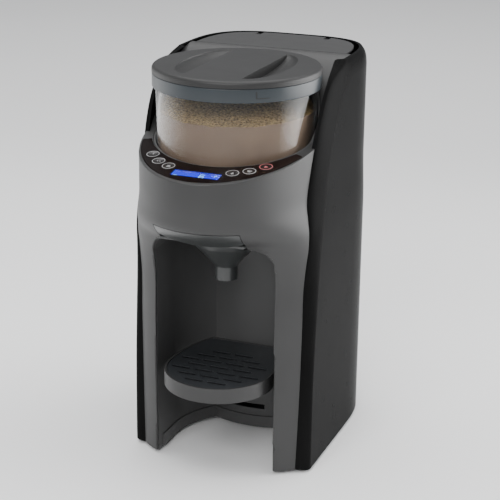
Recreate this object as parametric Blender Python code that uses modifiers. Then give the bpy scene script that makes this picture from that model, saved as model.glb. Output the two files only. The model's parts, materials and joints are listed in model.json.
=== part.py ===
"""Countertop formula dispenser: powder hopper, metering drive, water tank and bottle bay.

Frame: metres, +Z up, +X to the right of someone facing the machine, +Y towards its back.
The origin is on the floor, under the middle of the whole machine.
"""
import math

import bmesh
import bpy
from mathutils import Matrix, Vector

# ---- driving dimensions -------------------------------------------------------------
HEIGHT = 0.340                  # floor to the top of the lid
HALF_WIDTH = 0.0815             # of the black shell below the head
HEAD_HALF_WIDTH = 0.0800        # of the black shell at the head
GREY_HALF_WIDTH = 0.0820        # of the ellipse that the grey front follows below the head
GREY_HEAD_HALF_WIDTH = 0.0753   # of the ellipse it follows at the head, about the hopper's axis
REAR_Y = 0.126                  # back of the rear shell
FRONT_ARC_Y = -0.034            # centre of the grey front's ellipse below the head
REAR_ARC_Y = 0.036              # where the flat flanks turn into the squarer back
REAR_POWER = 3.4                # squareness of the back's superellipse
FRONT_FACETS = 9                # from the middle of the front to the seam, on each side
GREY_PAST_SEAM = 0.0031         # how far the grey form runs on behind the seam before it is cut
LIP_FACETS = 5                  # across the black shell's rolled lip, on each side
REAR_FACETS = 12                # round the back
WALL = 0.0025                   # wall of the moulded casings
GAP = 0.0003                    # clearance between pieces that touch
FLOOR_GAP = 0.003               # between the floor and the underside of the casing
ROUND = 40                      # facets round a large turned piece
HOPPER_Y = -0.024               # axis of the powder container and its lid
LID_RADIUS = 0.0697
GRIP_HALF_WIDTH = 0.0245        # bar between the two finger scoops of the lid
SCOOP_RADII = (0.0215, 0.0520, 0.0085)
CONTAINER_RADIUS = 0.0665
WELL_RADIUS = 0.0685            # hole in the deck that the container stands in
SEAT_FLOOR_Z = 0.245
SKIN = 0.0004                   # thinnest step between two faces that must not coincide
PANEL_SLOPE = math.radians(10.2)
PANEL_FOOT = Vector((0.0, -0.044, 0.280))    # a point of the sloped deck under the panel
PANEL_RADII = (0.0736, 0.0992)   # of the ellipse round the panel's outer edge
BUTTON_RADIUS = 0.0056
BUTTON_PLACES = ((0.0272, -0.1013), (0.0388, -0.0946), (0.0486, -0.0838))
BUTTON_NAMES = ("water_down_button", "powder_button", "start_button",
                "size_button", "unit_button", "power_button")
BAY_HALF_WIDTH = 0.053
BAY_CENTRE_Y = -0.036
BAY_DEPTH = 0.062               # depth of the half ellipse behind the bay's centre
BAY_CUSP_Y = 0.013              # where the side walls meet the bulging back wall
BAY_BACK_Y = 0.0065             # middle of the back wall
BAY_TOP_Z = 0.206
BAY_CORNER = 0.022
FUNNEL_Y = -0.0457
FUNNEL_TOP_Z = 0.2083
NOZZLE_Z = 0.162
TRAY_RADIUS = 0.0468
TRAY_Y = -0.0593
TRAY_TOP_Z = 0.086
TRAY_BOTTOM_Z = 0.073
TRAY_BACK_Y = 0.002
GRATE_ROWS = 7
GRATE_PITCH = 0.0105
SLOT_HALF_LENGTH = 0.0085
HOOK_HEIGHTS = (0.0230, 0.0500, 0.0775)      # slots in the bay's back wall for the tray
HOOK_HALF_WIDTH = 0.0150
PLINTH_Z = 0.014                # top of the slightly thicker foot of the bay's wall
TANK_FRONT_Y = 0.071
TANK_FLOOR_Z = 0.060
TANK_TOP_Z = 0.329
TANK_INSET = 0.0067             # tank outline inside the casing's outline
VALVE_Y = 0.095
LID_SEAM_Y = 0.052              # front edge of the tank's cover
HINGE = Vector((0.0, 0.112, 0.3370))
GEAR_MODULE = 0.0025
WHEEL_TEETH = 48
PINION_TEETH = 10
GEAR_Z = (0.249, 0.257)
GEAR_PLAY = 0.0004                # extra distance between the two gears
PINION_Y = HOPPER_Y + GEAR_MODULE * (WHEEL_TEETH + PINION_TEETH) / 2 + GEAR_PLAY
OUTLET_REACH = 0.038            # powder outlet in front of the hopper's axis
FOOT_PLACES = ((0.064, -0.046), (-0.064, -0.046), (0.055, 0.095), (-0.055, 0.095))
SCREW_PLACES = ((0.064, -0.020), (-0.064, -0.020), (0.062, 0.055), (-0.062, 0.055),
                (0.030, 0.110), (-0.030, 0.110))

# Side view (y, z) of the top of the grey housing, from its nose to the tank's cover.
DECK_LINE = ((-0.150, 0.2615), (-0.044, 0.2800), (-0.024, 0.2880), (-0.014, 0.2950), (-0.004, 0.3030),
             (0.005, 0.3110), (0.021, 0.3250), (0.036, 0.3350), (0.046, 0.3392), (0.054, 0.3400),
             (0.160, 0.3400))
# Side view (y, z) of the seam between the grey housing and the black rear shell.
SEAM_LINE = ((-0.0600, -0.010), (-0.0580, 0.067), (-0.0570, 0.131), (-0.0560, 0.190), (-0.0540, 0.225),
             (-0.0510, 0.246), (-0.0470, 0.262), (-0.0420, 0.279), (-0.0370, 0.292), (-0.0300, 0.305),
             (-0.0200, 0.318), (-0.0070, 0.330), (0.0090, 0.337), (0.0300, 0.342), (0.0300, 0.360))
# Side view (height, y) of the inner edge of the black shell's lip, where it meets the flank.
LIP_LINE = ((-0.010, -0.0520), (0.030, -0.0520), (0.084, -0.0510), (0.128, -0.0470), (0.178, -0.0408),
            (0.215, -0.0335), (0.238, -0.0260), (0.261, -0.0187), (0.283, -0.0094), (0.300, 0.0026),
            (0.312, 0.0150), (0.320, 0.0301), (0.326, 0.0496), (0.334, 0.0694), (0.340, 0.0900),
            (0.360, 0.0900))
# Height of each casing section, the reach of its front, and how far its top edge rolls in.
CASING_SECTIONS = ((FLOOR_GAP, -0.0835, 0.0), (0.128, -0.084, 0.0), (0.170, -0.084, 0.0),
                   (0.180, -0.086, 0.0), (0.195, -0.091, 0.0), (0.207, -0.100, 0.0),
                   (0.216, -0.113, 0.0), (0.225, -0.122, 0.0), (0.238, -0.1255, 0.0), (0.262, -0.126, 0.0),
                   (0.283, -0.126, 0.0), (0.300, -0.126, 0.0), (0.312, -0.126, 0.0), (0.320, -0.126, 0.0),
                   (0.326, -0.126, 0.0), (0.334, -0.126, 0.0010), (0.340, -0.126, 0.0042),
                   (0.350, -0.126, 0.0042))
TANK_PLAN_HALF_WIDTH = 0.078    # outline that the tank and its cover are inset from

# ---- materials: colour, roughness, metallic -----------------------------------------
FINISHES = {
    "housing_grey": ((0.125, 0.125, 0.127), 0.48, 0.0),
    "shell_black": ((0.012, 0.012, 0.013), 0.12, 0.0),
    "bay_grey": ((0.060, 0.060, 0.062), 0.55, 0.0),
    "inner_grey": ((0.085, 0.085, 0.090), 0.60, 0.0),
    "panel_black": ((0.008, 0.007, 0.008), 0.10, 0.0),
    "display_blue": ((0.010, 0.060, 0.600), 0.25, 0.0),
    "clear_plastic": ((0.90, 0.92, 0.93), 0.05, 0.0),
    "smoke_plastic": ((0.20, 0.22, 0.24), 0.08, 0.0),
    "skirt_blue_grey": ((0.110, 0.125, 0.135), 0.35, 0.0),
    "lid_grey": ((0.105, 0.105, 0.108), 0.50, 0.0),
    "funnel_grey": ((0.050, 0.052, 0.054), 0.30, 0.0),
    "grate_black": ((0.022, 0.023, 0.025), 0.45, 0.0),
    "key_black": ((0.030, 0.028, 0.028), 0.30, 0.0),
    "gear_white": ((0.70, 0.69, 0.66), 0.45, 0.0),
    "silicone": ((0.35, 0.36, 0.37), 0.65, 0.0),
    "rubber": ((0.020, 0.020, 0.020), 0.85, 0.0),
    "steel": ((0.55, 0.55, 0.56), 0.30, 1.0),
    "aluminium": ((0.70, 0.71, 0.72), 0.35, 1.0),
    "board_green": ((0.020, 0.140, 0.060), 0.40, 0.0),
}


def clear_scene():
    for leftover in list(bpy.data.objects):
        bpy.data.objects.remove(leftover, do_unlink=True)


def collection(name):
    made = bpy.data.collections.new(name)
    bpy.context.scene.collection.children.link(made)
    return made


clear_scene()
PARTS = collection("formula_dispenser")
CUTTERS = collection("cutters")
EMPTIES = collection("joints")


def finish(name):
    """Return the named Principled material, made on first use."""
    made = bpy.data.materials.get(name)
    if made is None:
        colour, roughness, metallic = FINISHES[name]
        made = bpy.data.materials.new(name)
        made.use_nodes = True
        shader = made.node_tree.nodes["Principled BSDF"]
        shader.inputs["Base Color"].default_value = (*colour, 1.0)
        shader.inputs["Roughness"].default_value = roughness
        shader.inputs["Metallic"].default_value = metallic
    return made


# ---- shapes ---------------------------------------------------------------------------
def add(name, mesh, material=None):
    """Link a mesh as a part, or as a hidden cutter when it has no material."""
    made = bpy.data.objects.new(name, mesh)
    if material is None:
        CUTTERS.objects.link(made)
        made.hide_render = True
        made.display_type = "WIRE"
    else:
        PARTS.objects.link(made)
        mesh.materials.append(finish(material))
        mesh.shade_smooth()
        mesh.set_sharp_from_angle(angle=math.radians(35))
    return made


def mesh_from(bm, name):
    bmesh.ops.recalc_face_normals(bm, faces=bm.faces)
    mesh = bpy.data.meshes.new(name)
    bm.to_mesh(mesh)
    bm.free()
    return mesh


def box(name, low, high, material=None):
    size = Vector(high) - Vector(low)
    centre = (Vector(high) + Vector(low)) / 2
    place = Matrix.Translation(centre) @ Matrix.Diagonal((*size, 1.0))
    bm = bmesh.new()
    bmesh.ops.create_cube(bm, size=1.0, matrix=place)
    return add(name, mesh_from(bm, name), material)


def cylinder(name, radius, low, high, centre=(0.0, 0.0), material=None, segments=32, axis="Z"):
    """A cylinder between two places along an axis; centre is in the other two axes."""
    bm = bmesh.new()
    middle = (low + high) / 2
    turn = {"X": Matrix.Rotation(math.pi / 2, 4, "Y"), "Y": Matrix.Rotation(-math.pi / 2, 4, "X"),
            "Z": Matrix.Identity(4)}[axis]
    place = {"X": (middle, *centre), "Y": (centre[0], middle, centre[1]), "Z": (*centre, middle)}[axis]
    bmesh.ops.create_cone(bm, cap_ends=True, segments=segments, radius1=radius, radius2=radius,
                          depth=high - low, matrix=Matrix.Translation(place) @ turn)
    return add(name, mesh_from(bm, name), material)


def prism(name, outline, low, high, material=None, axis="Z"):
    """Extrude a closed outline along an axis: (x, y) for Z, (y, z) for X, (x, z) for Y."""
    order = {"Z": (0, 1, 2), "X": (2, 0, 1), "Y": (0, 2, 1)}[axis]
    push = {"Z": (0, 0, high - low), "X": (high - low, 0, 0), "Y": (0, high - low, 0)}[axis]
    corners = [[(a, b, low)[index] for index in order] for a, b in outline]
    bm = bmesh.new()
    face = bm.faces.new([bm.verts.new(corner) for corner in corners])
    grown = bmesh.ops.extrude_face_region(bm, geom=[face])
    moved = [item for item in grown["geom"] if isinstance(item, bmesh.types.BMVert)]
    bmesh.ops.translate(bm, verts=moved, vec=push)
    return add(name, mesh_from(bm, name), material)


def turned(name, profile, centre=(0.0, 0.0), material=None, steps=48, closed=False):
    """Spin an (r, z) profile about a vertical axis. It runs from the top down the outer side."""
    bm = bmesh.new()
    verts = [bm.verts.new((radius, 0.0, height)) for radius, height in profile]
    for first, second in zip(verts, verts[1:]):
        bm.edges.new((first, second))
    if closed:
        bm.edges.new((verts[-1], verts[0]))
    mesh = bpy.data.meshes.new(name)
    bm.to_mesh(mesh)
    bm.free()
    made = add(name, mesh, material)
    made.location = (*centre, 0.0)
    screw = made.modifiers.new("turn", "SCREW")
    screw.steps = steps
    screw.render_steps = steps
    screw.use_merge_vertices = True
    screw.merge_threshold = 0.00001
    screw.use_smooth_shade = True
    return made


def tube(name, points, radius, material):
    """A round hose along a smooth line through its points."""
    curve = bpy.data.curves.new(name, "CURVE")
    curve.dimensions = "3D"
    curve.bevel_depth = radius
    curve.bevel_resolution = 2
    curve.use_fill_caps = True
    spline = curve.splines.new("POLY")
    line = smooth_line(points, 3)
    spline.points.add(len(line) - 1)
    for knot, place in zip(spline.points, line):
        knot.co = (*place, 1.0)
    curve.materials.append(finish(material))
    made = bpy.data.objects.new(name, curve)
    PARTS.objects.link(made)
    return made


def smooth_line(points, pieces):
    """Catmull-Rom points through a route, with the given pieces between neighbours."""
    route = [Vector(p) for p in points]
    route = [2 * route[0] - route[1]] + route + [2 * route[-1] - route[-2]]
    line = []
    for a, b, c, d in zip(route, route[1:], route[2:], route[3:]):
        for step in range(pieces):
            t = step / pieces
            line.append(0.5 * (2 * b + (c - a) * t + (2 * a - 5 * b + 4 * c - d) * t ** 2
                               + (3 * b - a - 3 * c + d) * t ** 3))
    line.append(route[-2])
    return line


def boolean(target, tool, operation="DIFFERENCE"):
    step = target.modifiers.new(tool.name, "BOOLEAN")
    step.operation = operation
    step.solver = "EXACT"
    step.object = tool


def cut(target, *tools):
    for tool in tools:
        boolean(target, tool)


def join(target, *tools):
    for tool in tools:
        boolean(target, tool, "UNION")


def keep_inside(target, tool):
    boolean(target, tool, "INTERSECT")


# ---- outlines -------------------------------------------------------------------------
def arc(centre, radius, start, end, count):
    """Points on an arc, angles in degrees, both ends included."""
    turns = [math.radians(start + (end - start) * i / count) for i in range(count + 1)]
    return [(centre[0] + radius * math.cos(t), centre[1] + radius * math.sin(t)) for t in turns]


def level_on(line, height):
    """The y of a side-view line of (height, y) points at a height."""
    for (low, low_y), (high, high_y) in zip(line, line[1:]):
        if low <= height <= high:
            return low_y + (high_y - low_y) * (height - low) / (high - low)
    return line[-1][1]


def seam_y(height):
    """The y of the seam between the two casings at a height."""
    return level_on([(z, y) for y, z in SEAM_LINE], height)


def grey_form(height):
    """Half width and centre of the ellipse that the grey front follows at a height."""
    lean = min(max((height - 0.195) / 0.050, 0.0), 1.0)
    half_width = GREY_HALF_WIDTH + (GREY_HEAD_HALF_WIDTH - GREY_HALF_WIDTH) * lean
    return half_width, FRONT_ARC_Y + (HOPPER_Y - FRONT_ARC_Y) * lean


def rear_arc(half_width, inset=0.0):
    """Right to left round the squarer back, from one flank to the other."""
    depth = REAR_Y - REAR_ARC_Y - inset
    back = []
    for step in range(REAR_FACETS + 1):
        turn = math.pi * step / REAR_FACETS
        across = abs(math.cos(turn)) ** (2 / REAR_POWER)
        along = max(math.sin(turn), 0.0) ** (2 / REAR_POWER) if 0 < step < REAR_FACETS else 0.0
        back.append((math.copysign(half_width * across, math.cos(turn)), REAR_ARC_Y + depth * along))
    return back


def casing_outline(height, front_y, inset=0.0, black=True):
    """Plan of a casing: elliptic front, then (black only) the rolled lip, flat flanks, squarer back."""
    grey_half_width, centre_y = grey_form(height)
    past_seam = 0.0 if black else GREY_PAST_SEAM
    turn_y = min(seam_y(height) + inset + past_seam, REAR_ARC_Y - 0.004)
    reach = centre_y - front_y - inset
    end = math.asin(min(max(centre_y - turn_y, 0.0) / reach, 1.0))
    side = []
    for step in range(FRONT_FACETS + 1):
        turn = math.pi / 2 + (end - math.pi / 2) * step / FRONT_FACETS
        side.append(((grey_half_width - inset) * math.cos(turn), centre_y - reach * math.sin(turn)))
    start_x = side[-1][0]
    side[-1] = (start_x, max(turn_y, side[-1][1]))
    start_y = side[-1][1]
    flank_x = grey_half_width - inset
    lip_y = REAR_ARC_Y - 0.001
    if black:
        lean = min(max((height - 0.200) / 0.050, 0.0), 1.0)
        flank_x = HALF_WIDTH + (HEAD_HALF_WIDTH - HALF_WIDTH) * lean - inset
        lip_y = min(max(level_on(LIP_LINE, height) + inset, start_y + 0.002), lip_y)
    for step in range(1, LIP_FACETS + 1):
        share = step / LIP_FACETS
        bulge = math.sqrt(1.0 - (1.0 - share) ** 2)
        side.append((start_x + (flank_x - start_x) * bulge, start_y + (lip_y - start_y) * share))
    back = rear_arc(flank_x, inset)
    left = [(-x, y) for x, y in reversed(side)]
    return side + back + left[:-1]


def casing(name, inset=0.0, low=None, material=None, black=True):
    """The whole outer form of the black or the grey casing, offset inwards by inset."""
    bm = bmesh.new()
    rings = []
    for height, front_y, roll in CASING_SECTIONS:
        outline = casing_outline(height, front_y, inset + roll, black)
        if low is not None and height == CASING_SECTIONS[0][0]:
            height = low
        rings.append([bm.verts.new((x, y, height)) for x, y in outline])
    count = len(rings[0])
    for lower, upper in zip(rings, rings[1:]):
        for i in range(count):
            j = (i + 1) % count
            bm.faces.new((lower[i], lower[j], upper[j], upper[i]))
    bm.faces.new(rings[0])
    bm.faces.new(rings[-1])
    return add(name, mesh_from(bm, name), material)


def bay_outline(offset=0.0, front_y=-0.200):
    """Plan of the bottle bay: elliptic side walls that run into a back wall bulging forwards."""
    half = BAY_HALF_WIDTH + offset
    depth = BAY_DEPTH + offset
    cusp_y = BAY_CUSP_Y + offset
    side = []
    for step in range(9):
        y = BAY_CENTRE_Y + (cusp_y - BAY_CENTRE_Y) * math.sin(math.pi / 2 * step / 8)
        side.append((half * math.sqrt(1 - ((y - BAY_CENTRE_Y) / depth) ** 2), y))
    cusp_x = side[-1][0]
    back_y = BAY_BACK_Y + offset
    back = []
    for step in range(1, 8):
        share = 1 - 2 * step / 8
        back.append((cusp_x * share, back_y + (cusp_y - back_y) * share ** 2))
    left = [(-x, y) for x, y in reversed(side)]
    return [(half, front_y)] + side + back + left + [(-half, front_y)]


def arch_outline(offset=0.0):
    """Front view of the bottle bay: straight sides, rounded top corners."""
    half = BAY_HALF_WIDTH + offset + 0.0004
    top = BAY_TOP_Z + offset
    radius = BAY_CORNER + offset
    right = arc((half - radius, top - radius), radius, 0, 90, 6)
    left = [(-x, z) for x, z in reversed(right)]
    return [(half, -0.020)] + right + left + [(-half, -0.020)]


def bay_space(name, offset):
    """The bottle bay as a solid, grown by offset."""
    space = prism(name, bay_outline(offset), -0.010, BAY_TOP_Z + 0.010)
    keep_inside(space, prism(name + "_arch", arch_outline(offset), -0.210, 0.060, axis="Y"))
    return space


def side_region(name, line, far):
    """Everything between a side-view line and the given far corner points, the full width across."""
    return prism(name, list(line) + list(far), -0.120, 0.120, axis="X")


def above_deck(name, drop=0.0):
    line = [(y, z - drop) for y, z in DECK_LINE]
    return side_region(name, line, ((0.160, 0.380), (-0.150, 0.380)))


def behind_seam(name, shift=0.0):
    line = [(y + shift, z) for y, z in SEAM_LINE]
    return side_region(name, line, ((0.200, 0.360), (0.200, -0.010)))


def panel_outline(offset=0.0, half_angle=64):
    """Crescent between the hopper's well and an ellipse further out, seen from above."""
    outer, inner = [], []
    for step in range(-10, 11):
        turn = math.radians(half_angle) * step / 10
        away = Vector((math.sin(turn), -math.cos(turn)))
        reach = 1.0 / math.hypot(away.x / PANEL_RADII[0], away.y / PANEL_RADII[1])
        outer.append((away * (reach + offset)) + Vector((0.0, HOPPER_Y)))
        inner.append((away * (WELL_RADIUS + 0.0014 - offset)) + Vector((0.0, HOPPER_Y)))
    return [tuple(p) for p in outer] + [tuple(p) for p in reversed(inner)]


def on_panel(made):
    """Tilt something drawn flat at the panel's foot so that it lies along the sloped deck."""
    to_foot = Matrix.Translation(PANEL_FOOT)
    made.data.transform(to_foot @ Matrix.Rotation(PANEL_SLOPE, 4, "X") @ to_foot.inverted())
    return made


def gear_outline(teeth, play):
    """A spur gear's outline about the origin: straight-flanked teeth of the shared module."""
    pitch_radius = GEAR_MODULE * teeth / 2
    outline = []
    for tooth in range(teeth):
        middle = 2 * math.pi * tooth / teeth
        for radius, width in ((-0.55, -0.29), (0.45, -0.13), (0.45, 0.13), (-0.55, 0.29)):
            turn = middle + (width - math.copysign(play, width)) * 2 * math.pi / teeth
            reach = pitch_radius + radius * GEAR_MODULE
            outline.append((reach * math.cos(turn), reach * math.sin(turn)))
    return outline


# ---- casings --------------------------------------------------------------------------
def front_housing():
    """The grey front body: shell in front of the seam, tongue under the shell, top deck."""
    made = casing("front_housing", material="housing_grey", black=False)
    cut(made, behind_seam("seam_front"))
    join(made, casing("housing_tongue", inset=WALL + 0.0007, low=0.004))
    cut(made, above_deck("deck_top"))
    cut(made, box("tank_side", (-0.1, LID_SEAM_Y, -0.01), (0.1, 0.2, 0.4)))
    front_room = casing("front_room", inset=WALL, low=-0.010, black=False)
    cut(front_room, above_deck("deck_room", WALL), behind_seam("seam_room", -0.004))
    middle_room = casing("middle_room", inset=2 * WALL + 0.0007, low=-0.010)
    cut(middle_room, above_deck("deck_middle", WALL))
    tail = behind_seam("tail_room", 0.008)
    cut(tail, above_deck("tail_top", 0.006))
    cut(made, front_room, middle_room, tail)
    cut(made, cylinder("well", WELL_RADIUS, 0.230, 0.360, (0.0, HOPPER_Y), segments=ROUND))
    cut(made, cylinder("lid_room", LID_RADIUS + 0.001, 0.3215, 0.360, (0.0, HOPPER_Y), segments=ROUND))
    cut(made, bay_space("bay_hole", 0.0025))
    cut(made, box("funnel_door", (-0.0372, -0.140, 0.200), (0.0372, -0.090, 0.2236)))
    recess = prism("panel_recess", panel_outline(GAP), PANEL_FOOT.z - 0.0012, PANEL_FOOT.z + 0.010)
    cut(made, on_panel(recess))
    for index, place in enumerate(both_sides(BUTTON_PLACES)):
        cut(made, on_panel(cylinder(f"key_hole_{index}", BUTTON_RADIUS + 0.0004, PANEL_FOOT.z - 0.010,
                                    PANEL_FOOT.z + 0.010, place, segments=14)))
    cut(made, on_panel(box("display_hole", (-0.0215, -0.1158, PANEL_FOOT.z - 0.010),
                           (0.0215, -0.1042, PANEL_FOOT.z + 0.010))))
    return made


def rear_shell():
    """The black shell behind the seam, open above the tank, with inlet and vents."""
    made = casing("rear_shell", material="shell_black")
    ahead = side_region("ahead_of_seam", [(y + 0.0004, z) for y, z in SEAM_LINE],
                        ((-0.200, 0.360), (-0.200, -0.010)))
    room = casing("rear_room", inset=WALL, low=-0.010)
    over = box("over_top", (-0.1, -0.2, HEIGHT), (0.1, 0.2, 0.37))
    inlet = box("inlet_hole", (-0.0145, 0.115, 0.0140), (0.0145, 0.140, 0.0340))
    cut(made, ahead, over, room, inlet)
    for row in range(5):
        height = 0.120 + 0.012 * row
        cut(made, box(f"vent_{row}", (-0.030, 0.115, height), (0.030, 0.140, height + 0.003)))
    return made


def bay_liner():
    liner = prism("bay_liner", bay_outline(0.0022), -0.010, BAY_TOP_Z + 0.010, "bay_grey")
    keep_inside(liner, prism("liner_arch", arch_outline(0.0022), -0.210, 0.060, axis="Y"))
    room = bay_space("bay_room", 0.0)
    cut(room, box("plinth", (-0.1, -0.25, -0.02), (0.1, 0.1, PLINTH_Z)))
    cut(liner, room, bay_space("plinth_room", -0.0012))
    for index, height in enumerate(HOOK_HEIGHTS):
        cut(liner, box(f"hook_slot_{index}", (-HOOK_HALF_WIDTH - 0.0012, -0.005, height - 0.0022),
                       (HOOK_HALF_WIDTH + 0.0012, 0.025, height + 0.0022)))
    cut(liner, box("funnel_way", (-0.0325, -0.220, 0.200), (0.0325, FUNNEL_Y + 0.034, 0.230)))
    keep_inside(liner, casing("liner_trim", inset=SKIN, low=0.0075, black=False))
    return liner


def base_plate():
    outline = casing_outline(FLOOR_GAP, -0.0835, WALL + 0.0007 + WALL + GAP)
    made = prism("base_plate", outline, 0.0043, 0.0068, "inner_grey")
    cut(made, prism("base_bay", bay_outline(0.0026), -0.010, 0.020))
    for index, place in enumerate(SCREW_PLACES):
        cut(made, cylinder(f"screw_hole_{index}", 0.0019, 0.0, 0.020, place, segments=12))
    return made


def feet_and_screws():
    foot = ((0.0, 0.004), (0.0080, 0.004), (0.0080, 0.0010), (0.0070, 0.0), (0.0, 0.0))
    for index, place in enumerate(FOOT_PLACES):
        turned(f"foot_{index + 1}", foot, place, "rubber", steps=16)
    screw = ((0.0, 0.0135), (0.0015, 0.0125), (0.0015, 0.0040), (0.0030, 0.0040),
             (0.0030, 0.0025), (0.0, 0.0025))
    for index, place in enumerate(SCREW_PLACES):
        turned(f"base_screw_{index + 1}", screw, place, "steel", steps=8)


def both_sides(places):
    """The places on the right, then their mirror images on the left."""
    return [*places, *((-x, y) for x, y in places)]


# ---- control panel --------------------------------------------------------------------
def control_panel():
    top = PANEL_FOOT.z + 0.0004
    made = on_panel(prism("control_panel", panel_outline(), PANEL_FOOT.z - 0.0009, top, "panel_black"))
    for index, place in enumerate(both_sides(BUTTON_PLACES)):
        cut(made, on_panel(cylinder(f"panel_hole_{index}", BUTTON_RADIUS + 0.0003, top - 0.010, top + 0.010,
                                    place, segments=14)))
    cut(made, on_panel(box("window_hole", (-0.0203, -0.1148, top - 0.010), (0.0203, -0.1052, top + 0.010))))
    on_panel(box("lcd_window", (-0.020, -0.1145, top - 0.0012), (0.020, -0.1055, top - 0.0001),
                 "clear_plastic"))
    on_panel(box("lcd_module", (-0.021, -0.1155, top - 0.0060), (0.021, -0.1045, top - 0.0016),
                 "display_blue"))
    on_panel(prism("display_board", panel_outline(-0.004, 48), PANEL_FOOT.z - 0.0090,
                   PANEL_FOOT.z - 0.0074, "board_green"))
    for name, place in zip(BUTTON_NAMES, both_sides(BUTTON_PLACES)):
        on_panel(cylinder(name, BUTTON_RADIUS, top - 0.0040, top + 0.0004, place, "key_black",
                          segments=14))


# ---- powder container, metering drive and lid -----------------------------------------
def container_seat():
    """The cup in the deck that the container lowers into, open below its powder outlet."""
    profile = ((0.0, SEAT_FLOOR_Z), (0.0670, SEAT_FLOOR_Z), (0.0670, 0.3205), (0.0682, 0.3205),
               (0.0682, SEAT_FLOOR_Z - 0.002), (0.0, SEAT_FLOOR_Z - 0.002))
    made = turned("container_seat", profile, (0.0, HOPPER_Y), "inner_grey", steps=ROUND)
    cut(made, above_deck("seat_deck", SKIN))
    cut(made, cylinder("seat_outlet", 0.011, 0.230, 0.250, (0.0, HOPPER_Y - OUTLET_REACH), segments=24))
    cut(made, cylinder("seat_pinion_room", 0.0150, 0.230, 0.2585, (0.0, PINION_Y), segments=24))


def powder_container():
    """The clear powder cylinder on its base, with the plate that wipes the dose level."""
    tube_wall = ((0.0643, 0.3310), (CONTAINER_RADIUS, 0.3310), (CONTAINER_RADIUS, 0.2623), (0.0643, 0.2623))
    turned("powder_container", tube_wall, (0.0, HOPPER_Y), "clear_plastic", steps=ROUND, closed=True)
    profile = ((0.0, 0.2575), (0.0045, 0.2575), (0.0045, 0.2478), (0.0620, 0.2478), (0.0620, 0.2620),
               (0.0662, 0.2620), (0.0662, SEAT_FLOOR_Z + GAP), (0.0, SEAT_FLOOR_Z + GAP))
    base = turned("container_base", profile, (0.0, HOPPER_Y), "inner_grey", steps=ROUND)
    cut(base, cylinder("base_outlet", 0.009, 0.230, 0.256, (0.0, HOPPER_Y - OUTLET_REACH), segments=24))
    cut(base, cylinder("base_pinion_room", 0.0144, 0.230, 0.2585, (0.0, PINION_Y), segments=24))
    fan = arc((0.0, HOPPER_Y), 0.0612, 235, 305, 14) + arc((0.0, HOPPER_Y), 0.0180, 305, 235, 6)
    prism("scraper_plate", fan, 0.2580, 0.2600, "inner_grey")


def metering_drive():
    """Toothed dosing wheel with eight pockets, its stirrer, and the motor pinion beside it."""
    rim = [(x, y + HOPPER_Y) for x, y in gear_outline(WHEEL_TEETH, 0.02)]
    wheel = prism("metering_wheel", rim, *GEAR_Z, "gear_white")
    cut(wheel, cylinder("wheel_bore", 0.0050, 0.240, 0.260, (0.0, HOPPER_Y), segments=24))
    for index in range(8):
        turn = 2 * math.pi * (index + 0.5) / 8
        place = (OUTLET_REACH * math.cos(turn), HOPPER_Y + OUTLET_REACH * math.sin(turn))
        cut(wheel, cylinder(f"dose_pocket_{index}", 0.0085, 0.240, 0.260, place, segments=16))
    hub_profile = ((0.0, 0.2720), (0.0070, 0.2710), (0.0095, 0.2660), (0.0095, 0.2573), (0.0, 0.2573))
    hub = turned("stirrer", hub_profile, (0.0, HOPPER_Y), "gear_white", steps=24)
    cut(hub, cylinder("hub_bore", 0.0050, 0.250, 0.2582, (0.0, HOPPER_Y), segments=24))
    join(hub, box("stirrer_arm", (-0.0590, HOPPER_Y - 0.0030, 0.2630),
                  (0.0590, HOPPER_Y + 0.0030, 0.2665)))
    rim = [(x, y + PINION_Y) for x, y in gear_outline(PINION_TEETH, 0.03)]
    pinion = prism("drive_pinion", rim, *GEAR_Z, "gear_white")
    join(pinion, cylinder("pinion_shaft", 0.0030, 0.2455, 0.2570 - 0.002, (0.0, PINION_Y), segments=16))
    motor_profile = ((0.0, 0.2435), (0.0060, 0.2435), (0.0060, 0.2400), (0.0165, 0.2400),
                     (0.0165, 0.1950), (0.0, 0.1950))
    turned("drive_motor", motor_profile, (0.0, PINION_Y), "steel", steps=28)


def lid():
    """The twist-off lid: seal ring, top with two finger scoops beside a grip bar, skirt."""
    ring = ((0.0608, 0.3305), (0.0640, 0.3305), (0.0640, 0.3275), (0.0608, 0.3275))
    turned("lid_seal", ring, (0.0, HOPPER_Y), "silicone", steps=ROUND, closed=True)
    profile = ((0.0, HEIGHT), (0.0625, HEIGHT), (0.0668, 0.3391), (0.0690, 0.3372), (LID_RADIUS, 0.3350),
               (LID_RADIUS, 0.3343), (0.0603, 0.3343), (0.0603, 0.3268), (0.0, 0.3268))
    top = turned("lid_top", profile, (0.0, HOPPER_Y), "lid_grey", steps=ROUND)
    grip = box("grip_bar", (-GRIP_HALF_WIDTH, -0.1, 0.3), (GRIP_HALF_WIDTH, 0.1, 0.36))
    for side in (1, -1):
        centre = (side * GRIP_HALF_WIDTH, HOPPER_Y, HEIGHT + 0.0010)
        scoop = ellipsoid(f"finger_scoop_{side}", centre, SCOOP_RADII)
        cut(scoop, grip)
        cut(top, scoop)
    band = ((0.0672, 0.3340), (0.0696, 0.3340), (0.0696, 0.3229), (0.0672, 0.3229))
    turned("lid_skirt", band, (0.0, HOPPER_Y), "skirt_blue_grey", steps=ROUND, closed=True)


def ellipsoid(name, centre, radii):
    bm = bmesh.new()
    place = Matrix.Translation(centre) @ Matrix.Diagonal((*radii, 1.0))
    bmesh.ops.create_uvsphere(bm, u_segments=20, v_segments=10, radius=1.0, matrix=place)
    return add(name, mesh_from(bm, name))


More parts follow.
